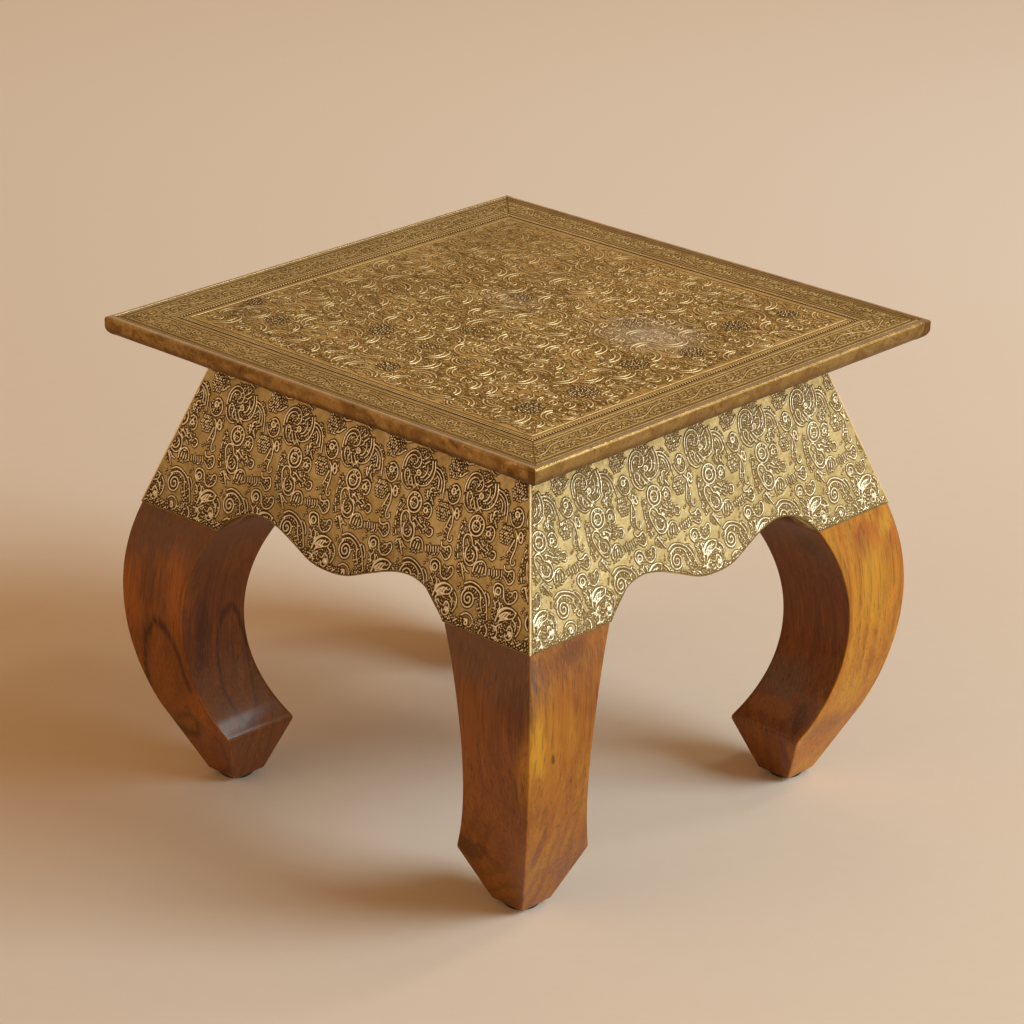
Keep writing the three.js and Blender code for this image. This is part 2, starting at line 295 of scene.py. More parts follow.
woodLook = {
    "honey": (0.59, 0.275, 0.02), "amber": (0.43, 0.135, 0.012), "russet": (0.27, 0.09, 0.014),
    "brown": (0.155, 0.045, 0.010), "heart": (0.06, 0.016, 0.005), "smoke": (0.165, 0.088, 0.058),
    "gold": (0.66, 0.37, 0.028), "soot": (0.035, 0.02, 0.013), "rough": 0.36, "figureScale": 11.0,
    "figureSway": 0.06, "ringsPerMetre": 95.0, "ringDepth": 0.3, "streakScale": 75.0, "flameScale": 8.5,
    "fibreScale": 620.0, "poreScale": 1300.0, "eddyScale": 42.0, "edgeWear": 0.45,
    "smokeHeights": (0.205, 0.25), "relief": 0.00012,
    "polish": {"Coat Weight": 0.31, "Coat Roughness": 0.12, "Coat Tint": (1.0, 0.8, 0.6, 1.0),
               "Specular IOR Level": 0.25, "Specular Tint": (1.0, 0.75, 0.5, 1.0)},
}

# dark and light places in each leg's wood: middle and half sizes in millimetres, colour and strength
woodMarks = {
    "near": [
        ((211, -163, 224), (14, 26, 18), "russet", 0.95), ((210, -197, 224), (14, 14, 12), "russet", 0.9),
        ((211, -166, 226), (14, 16, 9), "brown", 0.75), ((216, -151, 201), (14, 9, 16), "russet", 0.80),
        ((219, -210, 160), (14, 12, 46), "gold", 0.6), ((219, -194, 154), (14, 2, 5), "heart", 0.80),
        ((219, -165, 148), (14, 9, 53), "russet", 0.50), ((192, -161, 44), (14, 34, 10), "russet", 0.60),
        ((214, -196, 109), (14, 5, 25), "brown", 0.50), ((205, -190, 76), (14, 4, 30), "brown", 0.55),
        ((210, -172, 96), (14, 4, 34), "russet", 0.6), ((174, -210, 226), (74, 16, 42), "smoke", 0.90),
        ((203, -217, 191), (17, 14, 29), "heart", 0.50), ((159, -219, 146), (12, 14, 58), "russet", 0.60),
        ((137, -197, 55), (28, 14, 14), "heart", 0.75), ((172, -212, 102), (37, 14, 21), "russet", 0.45)],
    "left": [
        # the dark band at the top, just under the brass edge, is a painted shadow
        ((-184, -209, 231), (16, 14, 5), "soot", 0.90), ((-177, -212, 218), (47, 14, 19), "smoke", 0.75),
        ((-167, -218, 185), (28, 14, 19), "russet", 0.70), ((-178, -211, 80), (30, 34, 80), "heart", -1.0),
        ((-182, -210, 91), (15, 14, 60), "russet", 0.60), ((-165, -190, 30), (32, 34, 40), "heart", -0.55),
        ((-160, -219, 170), (13, 14, 50), "amber", 0.58), ((-210, -219, 160), (12, 14, 34), "amber", 0.50),
        ((-186, -219, 176), (9, 14, 26), "brown", 0.7), ((-150, -205, 66), (12, 20, 22), "amber", 0.5),
        ((-151, -199, 135), (14, 12, 30), "heart", 0.60), ((-151, -164, 144), (14, 12, 21), "russet", 0.60),
        ((-149, -168, 100), (40, 19, 62), "heart", -0.85), ((-141, -161, 197), (14, 27, 18), "russet", 0.50)],
    "right": [
        ((213, 175, 216), (14, 22, 12), "amber", 0.90), ((212, 168, 214), (14, 4, 16), "russet", 0.75),
        ((211, 199, 222), (14, 8, 13), "gold", 0.6), ((215, 207, 207), (14, 9, 12), "amber", 0.80),
        ((219, 180, 166), (14, 26, 45), "gold", 0.35), ((196, 156, 53), (14, 24, 25), "russet", 0.75),
        ((188, 152, 36), (14, 27, 17), "amber", 0.80), ((207, 168, 83), (14, 24, 32), "gold", 0.40),
        # the grey patch low on this leg's inner face is a painted sheen
        ((186, 134, 214), (17, 14, 19), "heart", 0.70), ((161, 144, 92), (27, 14, 20), "smoke", 0.85),
        ((159, 134, 66), (23, 14, 8), "russet", 0.80), ((187, 134, 67), (7, 14, 19), "heart", 0.70),
        ((170, 151, 150), (6, 14, 35), "russet", 0.50)],
    "far": [
        ((-212, 175, 214), (14, 22, 12), "heart", 0.60), ((-219, 190, 150), (14, 14, 50), "gold", 0.40),
        ((-180, 211, 200), (30, 14, 20), "smoke", 0.60), ((-176, 214, 110), (16, 14, 46), "heart", -0.60)],
}


def markShare(coords, warp, place, radii, strength):
    # one soft spot in the wood, or its dark outline where the strength is negative
    scale = tuple(1000.0 / radius for radius in radii)
    moved = stretched(coords, scale, tuple(-p * mm * k for p, k in zip(place, scale)))
    away = node("ShaderNodeVectorMath", {0: moved}, out="Value", operation="LENGTH")
    if strength < 0:
        offLine = maths("ABSOLUTE", away + warp * 0.13 - 0.85)
        return spread(offLine, 0.12, 0.0, 0.0, -strength)
    return spread(away + warp, 1.15, 0.4, 0.0, strength)


def polishedWood(name, place, turn, marks):
    # "pale" on the mesh marks the paler faces, partly sapwood and partly painted light on the faces turned to
    # the lamp, "edge" the arrises
    look = woodLook
    material, coords = newMaterial(name)
    moved = stretched(coords, (1, 1, 1), place, turn)
    pale, edge = attribute("pale"), attribute("edge")
    swell = noise(stretched(moved, (1, 1, 0.3)), look["figureScale"], 2.0, 0.5, 0.4)
    radius = node("ShaderNodeVectorMath", {0: stretched(moved, (1, 1, 0))}, out="Value", operation="LENGTH")
    wavy = radius + swell * look["figureSway"]
    phase = maths("FRACT", wavy * look["ringsPerMetre"])
    ringLine = spread(phase, 0.2, 0.9) * spread(phase, 1.0, 0.93)
    broad = noise(stretched(moved, (1, 1, 0.33)), look["flameScale"], 3.0, 0.55, 1.4)
    streaks = noise(stretched(moved, (1, 1, 0.05)), look["streakScale"], 5.0, 0.68, 0.5)
    fibres = noise(stretched(moved, (1, 1, 0.02)), look["fibreScale"], 3.0, 0.6)
    pores = noise(stretched(moved, (1, 1, 0.03)), look["poreScale"], 2.0, 0.5)
    faint = spread(swell, 0.35, 0.6, 0.06, look["ringDepth"])
    tone = streaks * 0.65 + fibres * 0.35
    sap = blend(spread(tone, 0.38, 0.6), look["amber"], look["honey"])
    sap = blend(spread(broad, 0.52, 0.7, 0.0, 0.85), sap, look["amber"])
    core = blend(spread(tone, 0.38, 0.62), look["brown"], look["russet"])
    core = blend(spread(broad, 0.42, 0.62, 0.1, 0.75), core, look["brown"])
    colour = blend(pale, core, sap)
    colour = blend(ringLine * faint, colour, look["heart"])
    colour = blend(spread(broad, 0.62, 0.8, 0.0, 0.6), colour, look["heart"])
    eddies = noise(stretched(moved, (1, 1, 0.4)), look["eddyScale"], 4.0, 0.62, 1.2)
    warp = streaks * 1.1 + eddies * 2.6 - 1.85
    for spot, radii, tint, strength in marks:
        colour = blend(markShare(coords, warp, spot, radii, strength), colour, look[tint])
    colour = blend(spread(fibres, 0.53, 0.68, 0.0, 0.55), colour, look["heart"])
    lightFibres = spread(fibres, 0.47, 0.33, 0.0, 0.36) * spread(pale, 0.0, 1.0, 0.45)
    colour = blend(lightFibres, colour, look["honey"])
    colour = blend(spread(pores, 0.6, 0.74, 0.0, 0.5), colour, look["heart"])
    # the tops are greyed, less on the pale faces
    height = node("ShaderNodeSeparateXYZ", {0: coords}, out="Z") + broad * 0.05
    smoke = spread(height, *look["smokeHeights"]) * spread(pale, 0.0, 1.0, 0.5, 0.05)
    colour = blend(smoke, colour, look["smoke"])
    chipped = edge * spread(streaks, 0.42, 0.62, 0.2, 1.0)
    colour = blend(chipped * look["edgeWear"], colour, look["honey"])
    rough = spread(streaks, 0.3, 0.7, look["rough"] - 0.06, look["rough"] + 0.12)
    relief = streaks * 0.5 - spread(pores, 0.58, 0.74, 0.0, 0.8)
    return closeMaterial(material, {"Base Color": colour, "Roughness": rough, **look["polish"]},
                         (relief, look["relief"], 0.5))


boardLook = {"pale": (0.36, 0.20, 0.095), "dark": (0.17, 0.085, 0.036), "rough": 0.68,
             "place": (0.3, 0.2, 0.1), "swellScale": 9.0, "rings": 12.0, "fibreScale": 420.0,
             "relief": 0.0003}


def boardWood(name, scale):
    # scale is small along the grain
    look = boardLook
    material, coords = newMaterial(name)
    along = stretched(stretched(coords, (1, 1, 1), look["place"]), scale)
    swell = noise(along, look["swellScale"], 2.0, 0.5, 0.6)
    rings = maths("PINGPONG", swell * look["rings"], 0.5)
    fibres = noise(along, look["fibreScale"], 3.0, 0.6)
    tone = rings + fibres * 0.6
    colour = blend(spread(tone, 0.3, 0.85), look["dark"], look["pale"])
    return closeMaterial(material, {"Base Color": colour, "Roughness": look["rough"]},
                         (fibres, look["relief"], 0.5))


def simpleMaterial(name, colour, dark, rough, metal, scale):
    material, coords = newMaterial(name)
    mottle = noise(coords, scale, 4.0, 0.6)
    grain = noise(coords, scale * 9, 2.0, 0.5)
    mixed = blend(spread(mottle, 0.35, 0.7), colour, dark)
    roughness = spread(grain, 0.3, 0.7, rough - 0.08, rough + 0.1)
    return closeMaterial(material, {"Base Color": mixed, "Roughness": roughness, "Metallic": metal},
                         (grain, 0.0001, 0.5))


# Geometry Nodes helpers

def newTree(name, sizes):
    # a tree whose named inputs are its sizes, in metres
    tree = bench["tree"] = bpy.data.node_groups.new(name, "GeometryNodeTree")
    for way in ("OUTPUT", "INPUT"):
        tree.interface.new_socket("Geometry", in_out=way, socket_type="NodeSocketGeometry")
    for label, value in sizes.items():
        kind = "NodeSocketInt" if isinstance(value, int) else "NodeSocketFloat"
        tree.interface.new_socket(label, in_out="INPUT", socket_type=kind).default_value = value
    return node("NodeGroupInput")


def endTree(mesh, material):
    real = node("GeometryNodeRealizeInstances", {"Geometry": mesh})
    dressed = node("GeometryNodeSetMaterial", {"Geometry": real, "Material": material})
    node("NodeGroupOutput", {0: dressed})
    return bench["tree"]


def keep(mesh, name, value):
    # writes a value on the points, under a name that the materials read
    return node("GeometryNodeStoreNamedAttribute", {"Geometry": mesh, "Name": name, "Value": value},
                data_type="FLOAT", domain="POINT")


def kept(name, kind="FLOAT"):
    return node("GeometryNodeInputNamedAttribute", {"Name": name}, data_type=kind)


def together(x=0.0, y=0.0, z=0.0):
    return node("ShaderNodeCombineXYZ", {0: x, 1: y, 2: z})


def lifted(mesh, height):
    return node("GeometryNodeTransform", {"Geometry": mesh, "Translation": together(z=height)})


def grow(name, tree, sizes, places, edges=(), values=None):
    # runs a tree on a wire mesh, places in millimetres, and keeps the result as a plain mesh
    wire = bpy.data.meshes.new(name + "_wire")
    wire.from_pydata([tuple(float(n) * mm for n in place) for place in places], list(edges), [])
    for key, numbers in (values or {}).items():
        kind, field = ("FLOAT_VECTOR", "vector") if np.ndim(numbers) == 2 else ("FLOAT", "value")
        layer = wire.attributes.new(key, kind, "POINT")
        layer.data.foreach_set(field, np.asarray(numbers, np.float32).ravel())
    piece = bpy.data.objects.new(name, wire)
    bpy.context.scene.collection.objects.link(piece)
    modifier = piece.modifiers.new(name, "NODES")
    modifier.node_group = tree
    for socket in tree.interface.items_tree:
        if socket.in_out == "INPUT" and socket.name in sizes:
            modifier[socket.identifier] = sizes[socket.name]
    bpy.context.view_layer.update()
    grown = bpy.data.meshes.new_from_object(piece.evaluated_get(bpy.context.evaluated_depsgraph_get()))
    piece.modifiers.remove(modifier)
    piece.data = grown
    grown.name = name
    bpy.data.meshes.remove(wire)
    return piece


# Embossed patterns: a map of the distance to the nearest raised line, in millimetres

farthest, lineReach = 2.6, 2.4


def blankPattern(width, height, step=0.22, wraps=False):
    # a map that wraps repeats along its width
    shape = (int(round(height / step)), int(round(width / step)))
    return {"near": np.full(shape, farthest), "step": step, "wraps": wraps}


def smoothLine(points, spacing):
    # an even line of points on a smooth curve through the given ones
    knots = np.asarray(points, float)
    if len(knots) > 2:
        ends = np.vstack([2 * knots[0] - knots[1], knots, 2 * knots[-1] - knots[-2]])
        t = np.linspace(0, 1, 9)[:-1, None]
        bits = [0.5 * (2 * b + (c - a) * t + (2 * a - 5 * b + 4 * c - d) * t ** 2
                       + (3 * b - a - 3 * c + d) * t ** 3)
                for a, b, c, d in zip(ends[:-3], ends[1:-2], ends[2:-1], ends[3:])]
        knots = np.vstack([*bits, knots[-1:]])
    along = np.concatenate([[0], np.cumsum(np.hypot(*np.diff(knots, axis=0).T))])
    even = np.linspace(0, along[-1], max(2, int(along[-1] / spacing) + 2))
    return np.column_stack([np.interp(even, along, knots[:, 0]), np.interp(even, along, knots[:, 1])])


def pressPart(pattern, start, end, startHalf, endHalf):
    # one straight part of a line, with its half widths at both ends
    step, near = pattern["step"], pattern["near"]
    rows, columns = near.shape
    low = np.floor((np.minimum(start, end) - lineReach) / step).astype(int)
    high = np.ceil((np.maximum(start, end) + lineReach) / step).astype(int)
    if not pattern["wraps"]:
        low[0], high[0] = max(low[0], 0), min(high[0], columns - 1)
    across = np.arange(low[0], high[0] + 1)
    down = np.arange(max(low[1], 0), min(high[1], rows - 1) + 1)
    if not len(down) or not len(across):
        return
    x = ((across + 0.5) * step - start[0])[None, :]
    y = ((down + 0.5) * step - start[1])[:, None]
    run = end - start
    share = np.clip((x * run[0] + y * run[1]) / max(run @ run, 1e-9), 0, 1)
    away = np.hypot(x - share * run[0], y - share * run[1]) - startHalf - share * (endHalf - startHalf)
    window = np.ix_(down, across % columns)
    near[window] = np.minimum(near[window], away)


def press(pattern, points, width=1.1, taper=0.0, spacing=0.7):
    line = smoothLine(points, spacing)
    half = width / 2 * (1 - taper * np.linspace(0, 1, len(line)))
    for index in range(len(line) - 1):
        pressPart(pattern, line[index], line[index + 1], half[index], half[index + 1])


def pressDots(pattern, points, radius=0.5):
    for place in np.asarray(points, float):
        pressPart(pattern, place, place, radius, radius)


def distanceAt(pattern, across, down, key="near"):
    step, near = pattern["step"], pattern[key]
    rows, columns = near.shape
    u = np.asarray(across) / step - 0.5
    v = np.clip(np.asarray(down) / step - 0.5, 0, rows - 1.001)
    if pattern["wraps"]:
        u = u % columns
    else:
        u = np.clip(u, 0, columns - 1.001)
    left, top = np.floor(u).astype(int), np.floor(v).astype(int)
    du, dv = u - left, v - top
    left, right, below = left % columns, (left + 1) % columns, np.minimum(top + 1, rows - 1)
    upper = near[top, left] * (1 - du) + near[top, right] * du
    lower = near[below, left] * (1 - du) + near[below, right] * du
    return upper * (1 - dv) + lower * dv


def measureDensity(pattern, radius):
    # how closely the lines stand round each place, from 0 to 1
    raised = (pattern["near"] < 0).astype(float)
    up, along = np.meshgrid(np.fft.fftfreq(raised.shape[0]), np.fft.fftfreq(raised.shape[1]), indexing="ij")
    blur = np.exp(-2 * (pi * radius / pattern["step"]) ** 2 * (up ** 2 + along ** 2))
    pattern["dense"] = np.real(np.fft.ifft2(np.fft.fft2(raised) * blur))
    return pattern


def sowSeeds(pattern, seeds, draw):
    # small beads strewn over elliptical patches, clear of the lines but never far from one
    nearest, most = seeds["room"]
    for x, y, across, up in seeds["patches"]:
        for _ in range(int(across * up * seeds["tries"])):
            reach, angle = draw.uniform() ** 0.5, draw.uniform(0, 2 * pi)
            place = np.array([x + across * reach * cos(angle), y + up * reach * sin(angle)])
            if nearest < distanceAt(pattern, place[:1], place[1:])[0] < most:
                pressDots(pattern, [place], draw.uniform(*seeds["radii"]))


def ringPoints(x, y, across, up=None, tilt=0.0, start=0.0, sweep=360.0):
    up = across if up is None else up
    count = max(6, int(abs(sweep) / 24))
    angle = np.radians(np.linspace(start, start + sweep, count + 1))
    a, b = across * np.cos(angle), up * np.sin(angle)
    c, s = cos(radians(tilt)), sin(radians(tilt))
    return np.column_stack([x + a * c - b * s, y + a * s + b * c])


def spiralPoints(x, y, first, last, start, turns):
    count = max(8, int(abs(turns) * 14))
    share = np.linspace(0, 1, count + 1)
    angle = np.radians(start) + share * turns * 2 * pi
    radius = first + (last - first) * share
    return np.column_stack([x + radius * np.cos(angle), y + radius * np.sin(angle)])


def berryPoints(x, y, radius, pitch, draw, loose=0.3):
    # a cluster of round berries in staggered rows, each a little out of place
    places = []
    for row in range(-9, 10):
        for column in range(-9, 10):
            a = (column + 0.5 * (row % 2)) * pitch
            b = row * pitch * 0.87
            if hypot(a, b) <= radius:
                places.append((x + a + draw.uniform(-loose, loose), y + b + draw.uniform(-loose, loose)))
    return places


def ribLines(start, end, count, length, slant=0.0):
    start, end = np.array(start, float), np.array(end, float)
    run = (end - start) / np.linalg.norm(end - start)
    across = np.array([-run[1], run[0]]) + slant * run
    middles = [start + (end - start) * share for share in np.linspace(0, 1, count)]
    return [[tuple(m - across * length / 2), tuple(m + across * length / 2)] for m in middles]


# Apron sheets

apronPattern = {
    "period": 64.3, "depth": 152.0, "seed": 11, "line": 1.3, "berryPitch": 2.15, "berryDot": 0.7, "dot": 0.62,
    # lines of one repeat, in millimetres from its left edge and down from the slab's underside
    "lines": [
        [(15.0, 47), (15.2, 41), (17.5, 35.5), (22.5, 32), (28, 32.6), (31.6, 36.5), (31.6, 40.5),
         (28.8, 43.4), (25, 43)],
        [(17.4, 44.5), (18.2, 39), (21, 35.8), (25, 35), (28.2, 37.3), (27.4, 40.3)],
        [(45.3, 34), (46.8, 40), (46.2, 46), (43, 51.5), (37, 54), (33.5, 53.3)],
        [(42.8, 34.5), (44, 40), (42.8, 45.5), (39.4, 49.6)], [(35, 48.6), (38, 47), (39.8, 43), (39, 38.6)],
        [(35, 35.2), (38, 33)], [(36, 38.4), (40.2, 35.2)], [(34.4, 41.4), (36.6, 39.8)],
        [(15.5, 49.5), (16.6, 53.4), (19.6, 56.8), (24, 58.8), (27.5, 58)],
        [(18.8, 46.8), (19, 51), (21.4, 54.6)], [(22, 45.8), (24, 49), (23.2, 53), (25.8, 56.2)],
        [(26, 50.5), (28.5, 54.5), (31, 57.4)], [(29, 50), (32.5, 54), (35.5, 56.6)],
        [(47.6, 37.6), (52, 38.8), (56.2, 42.4), (58.8, 47.5), (59.6, 53), (60.2, 57)],
        [(48.6, 40.2), (52, 41.8), (55.2, 45), (56.6, 49.5), (57, 53)],
        [(50, 43.2), (52.6, 45.2), (53.6, 48.5), (53.4, 52)],
        [(47.4, 56.4), (47.6, 53.4), (49.6, 51.8), (51.8, 52.8)], [(49.6, 58.6), (53, 63)],
        [(45.2, 55), (45.4, 58.6), (47.4, 60.4)], [(72, 38.5), (75, 36.8)], [(74.8, 36.2), (78.4, 33.8)],
        [(66.8, 46.4), (70, 44.9), (74, 46.8), (76, 51), (75, 55.6), (71, 58.1), (66.6, 57), (64, 54),
         (62.2, 50.4)],
        [(71, 60.2), (73.4, 62.9), (74.5, 67), (75, 72), (74, 77), (73.6, 81), (75.5, 83.6), (78, 82),
         (77.4, 79.8)], [(72.2, 66.5), (70.4, 72), (68.2, 77.5)],
        [(44.2, 65), (48, 63.2), (51.6, 65), (52.9, 69), (51.2, 73.2), (48, 73.4)],
        [(26.4, 83), (25.2, 78), (27, 74.4), (30.4, 73.9), (33.4, 76), (34.8, 79.2), (39.2, 81.8),
         (41.7, 86), (41.2, 90.4), (37.4, 93.6), (32.2, 92.6), (28.8, 88.4), (26.4, 83)],
        [(30.4, 82.4), (29.8, 86), (31.8, 89.6), (35.6, 90.8), (38.6, 88.4), (38.2, 84.8), (35, 83)],
        [(28.6, 77.2), (30.6, 79.8)], [(21.6, 69.8), (20.2, 72.6)], [(20, 76.2), (20.2, 79.4)],
        [(20.8, 83.2), (21.8, 86)], [(23, 89), (24.2, 92)], [(36.6, 76.4), (40, 77), (44, 79.4), (48, 80.6)],
        [(39, 79.8), (41.6, 82)], [(43.6, 76.2), (45.6, 78)], [(45.4, 82.8), (48, 84.6)],
        [(48.4, 78.2), (51, 79.4)], [(54.4, 79), (57.6, 79.6), (58.3, 82.8), (56, 85.2), (53, 84.2)],
        [(41, 97), (41.4, 92), (45, 88.6), (49, 88.4), (52.2, 91.4), (53.2, 96.4)],
        [(43.8, 95.8), (44.6, 92)], [(46.6, 96.2), (47.4, 91.8)], [(49.4, 96), (49.8, 92)],
        [(69, 85.4), (70.4, 88.2), (74, 88.4), (78, 86.6), (80.4, 89.6), (80, 94), (76.6, 96.6),
         (73.4, 94.8), (70, 92.4)], [(28, 94.4), (30.4, 97), (32.4, 100.4), (35, 104)],
        [(31.4, 95.2), (33.9, 97.4), (37.4, 98.6)],
        [(67, 107.8), (64.2, 104.6), (64, 100.4), (67.6, 98.4), (72.4, 99.6), (74.2, 103.4), (76.4, 107.4),
         (80.6, 109.2), (85.2, 107), (87.4, 102.8), (86, 99.4), (83, 100.2), (82.4, 103)],
        [(66.6, 110.6), (69.2, 113), (70.2, 116.6)], [(72.4, 110.4), (74, 113.2), (72.8, 116.6)],
        [(36.6, 106.6), (42, 104), (49, 104.8), (55.6, 108), (60, 112.8), (62.6, 119), (65, 125)],
        [(37.6, 109.4), (44, 106.8), (50, 108), (54, 111), (55.2, 116), (58.4, 121.4)],
        [(59.6, 107.8), (62.8, 111.6), (63.6, 115.6)],
        [(8.8, 123), (10, 116.4), (14.6, 112.2), (21, 111.4), (27, 113.2)],
        [(10.8, 119.4), (16.6, 115), (22.6, 115.4)], [(11.8, 123.6), (14.4, 119.4), (19.6, 118.6)],
        [(10, 130), (11.6, 126), (15.6, 123.4)], [(29, 115), (32.4, 118.4), (33, 123.4), (31, 128.4)],
        [(25, 118.5), (28.6, 121), (29.2, 125)],
        [(21.6, 126.6), (23, 123.2), (26.4, 124.6), (27.6, 129.4), (25, 132.4), (21.4, 131.4), (20.6, 129)],
        [(72.6, 123.4), (74.2, 118), (79, 113.2), (85, 111.6), (90, 113.2), (88.8, 117.2), (83, 119.4),
         (76, 122.4)], [(76.2, 120), (79.4, 115.8)], [(79.4, 118.8), (82.4, 114.4)],
        [(82.6, 117.6), (85.2, 113.8)], [(40, 128), (44, 125.6), (49, 126.4), (52, 130), (50.4, 134)],
        [(43.4, 130), (46.4, 129.2), (47.6, 132)],
        [(64, 128.6), (67, 131.6), (66.6, 136), (62.6, 138), (59.6, 135.6), (60.8, 132.8)],
        [(70, 127), (74.6, 127.4), (77, 131), (75.6, 135.4)], [(9, 135), (13.4, 134), (16.4, 137.4)],
        [(34, 134), (37.4, 131.4)], [(36.4, 137.6), (40.4, 134.8)],
        [(14, 8), (20, 5), (27, 7), (31, 13), (29, 19), (23, 21), (19, 17)],
        [(18, 9.4), (23, 8.4), (27, 12), (26, 16)], [(40, 6), (46, 9), (49, 15), (48, 22), (43, 27)],
        [(42.4, 11), (45, 16), (43.4, 21.4)], [(56, 10), (61, 8), (66, 11), (67, 17), (63, 21), (58, 19)],
        [(8, 24), (12, 28), (18, 27)], [(33, 23), (36, 27), (41, 29)], [(52, 23), (56, 26), (61, 26)]
    ],
    "rings": [(32.2, 45.8, 1.9), (69.2, 49.6, 2.0), (34.6, 66.2, 7.1), (34.4, 66.6, 3.9), (47.2, 68.6, 1.7),
              (68.6, 103.6, 2.5), (46, 132, 1.4), (24, 14, 2.2), (61.6, 14.6, 2.2)],
    "ovals": [(77.4, 63.4, 1.9, 3.7, -18)],
    "spirals": [(43, 115.8, 1.0, 7.0, 200, 2.1), (24.4, 128.2, 0.6, 2.0, 0, 1.2)],
    "berries": [(1.7, 35, 6.6), (63.5, 65.3, 7.0), (36, 2, 4.0), (56, 131, 3.2)],
    "dots": [
        (24, 40), (26.6, 46.6), (23.4, 38.2), (49, 55), (55.4, 55.6), (57.6, 59), (70.6, 53), (72, 50.2),
        (34, 64.4), (36, 67), (33, 68), (45, 69.4), (45.6, 72), (49.6, 71), (41.4, 73.4), (34, 86),
        (36.2, 87.4), (34.2, 88.6), (32.6, 87), (24, 67), (25.2, 70.4), (23.2, 73.6), (22.8, 78),
        (23.2, 81.6), (24.6, 86.4), (26.4, 91), (52, 82), (50, 83.8), (41.6, 99.4), (44.4, 99), (47.4, 99),
        (74, 91.6), (76.8, 92), (27.4, 97.6), (78, 103.4), (79.6, 105.8), (77.6, 100.4), (66, 81), (64, 82),
        (70, 81), (18, 126), (18, 129), (16, 131.6), (60, 101), (57.6, 103.4), (59, 97.6), (32, 108.6),
        (31, 111.4), (6, 127), (5, 131)],
    "ribs": [((56, 93.6), (68, 91.4), 6, 3.8, 0.1)],
    # small seeds strewn over patches: middle across and down, half width and half height
    "seeds": {"radii": (0.45, 0.75), "room": (1.0, 2.3), "tries": 14, "patches": [
        (30.5, 42.5, 15.2, 13.6), (53, 46.5, 6.6, 9.6), (47.5, 57.5, 5.5, 4.0), (69.6, 50, 5.4, 5.6),
        (34.5, 66.3, 6.6, 6.6), (47.6, 68.8, 4.2, 4.2), (22.0, 79, 3.2, 14), (34.0, 86, 6.5, 7.5),
        (44.8, 78.6, 9.0, 4.4), (57, 81.6, 3, 3), (47.2, 94, 5.4, 5.0), (62.0, 92.8, 8.5, 3.2),
        (75.6, 91.4, 5.0, 4.0), (78.5, 104.4, 7.5, 4.2), (68.5, 103.6, 4.6, 4.6), (72, 113.5, 5.0, 4.5),
        (30, 98, 4.5, 4.5), (78.5, 62, 3.0, 6.0), (71.5, 78, 3, 6), (21, 120, 12, 8.5), (20, 131, 12, 7),
        (58, 116, 5.5, 9), (62, 131, 9, 7), (40, 135, 9, 5), (77, 118, 10, 7), (73, 130, 6, 8),
        (66.5, 31, 6.5, 6.5), (8, 30.5, 5, 3), (43, 111.8, 9, 3.2)]},
    "densityRadius": 2.0,
}


def drawApronPattern():
    look = apronPattern
    draw = np.random.default_rng(look["seed"])
    pattern = blankPattern(look["period"], look["depth"], wraps=True)
    for line in look["lines"]:
        press(pattern, line, look["line"], 0.25)
    for x, y, radius in look["rings"]:
        press(pattern, ringPoints(x, y, radius), look["line"], spacing=0.6)
    for x, y, across, up, tilt in look["ovals"]:
        press(pattern, ringPoints(x, y, across, up, tilt), look["line"])
    for spiral in look["spirals"]:
        press(pattern, spiralPoints(*spiral), look["line"])
    for x, y, radius in look["berries"]:
        pressDots(pattern, berryPoints(x, y, radius, look["berryPitch"], draw), look["berryDot"])
    pressDots(pattern, look["dots"], look["dot"])
    for rib in look["ribs"]:
        for line in ribLines(*rib):
            press(pattern, line, 1.0)
    sowSeeds(pattern, look["seeds"], draw)
    return measureDensity(pattern, look["densityRadius"])


def embossed(near, rise):
    # height of the sheet over its ground, from the distance to the nearest raised edge
    share = limited(0.5 - near)
    lift = share * share * (3 - 2 * share)
    groove = np.exp(-((near - 0.75) / 0.38) ** 2)
    return rise * (lift - 0.22 * groove)


def sheetPiece(name, face, drop, middle, material, stands, near, dense, rub, soot, fade=0.0):
    # a closed thin sheet: its worked face, a rim and a plain back
    rows, columns = face.shape[:2]
    index = np.arange(rows * columns).reshape(rows, columns)
    quads = np.stack([index[:-1, :-1], index[:-1, 1:], index[1:, 1:], index[1:, :-1]], -1).reshape(-1, 4)
    rim = np.concatenate([index[0, :-1], index[:-1, -1], index[-1, :0:-1], index[:0:-1, 0]])
    back = rows * columns + np.arange(len(rim))
    flat = face.reshape(-1, 3)
    places = np.vstack([flat, flat[rim] + drop, middle])
    ahead, backAhead = np.roll(rim, -1), np.roll(back, -1)
    skirt = np.stack([ahead, rim, back, backAhead], -1)
    fan = np.stack([backAhead, back, np.full(len(back), back[-1] + 1)], -1)
    u, v = np.meshgrid(np.linspace(0.01, 0.99, columns), np.linspace(0.01, 0.9, rows))
    islands = np.column_stack([u.ravel(), v.ravel()])
    islands = np.vstack([islands, islands[rim] * (1, 0.08) + (0, 0.915), [0.5, 0.95]])
    flats = np.arange(len(quads) + len(skirt) + len(fan)) >= len(quads)
    # each attribute on the worked face, and its one value on the rim and the back
    worked = {"near": (near, 1.0), "dense": (dense, 0.0), "rub": (rub, 0.0), "soot": (soot, 1.0),
              "fade": (fade + 0 * near, 0.0)}
    values = {key: np.append(numbers, np.full(len(rim) + 1, beyond))
              for key, (numbers, beyond) in worked.items()}
    buildPiece(name, places, np.vstack([quads, skirt]), fan, material, stands, values,
               flats, islands)


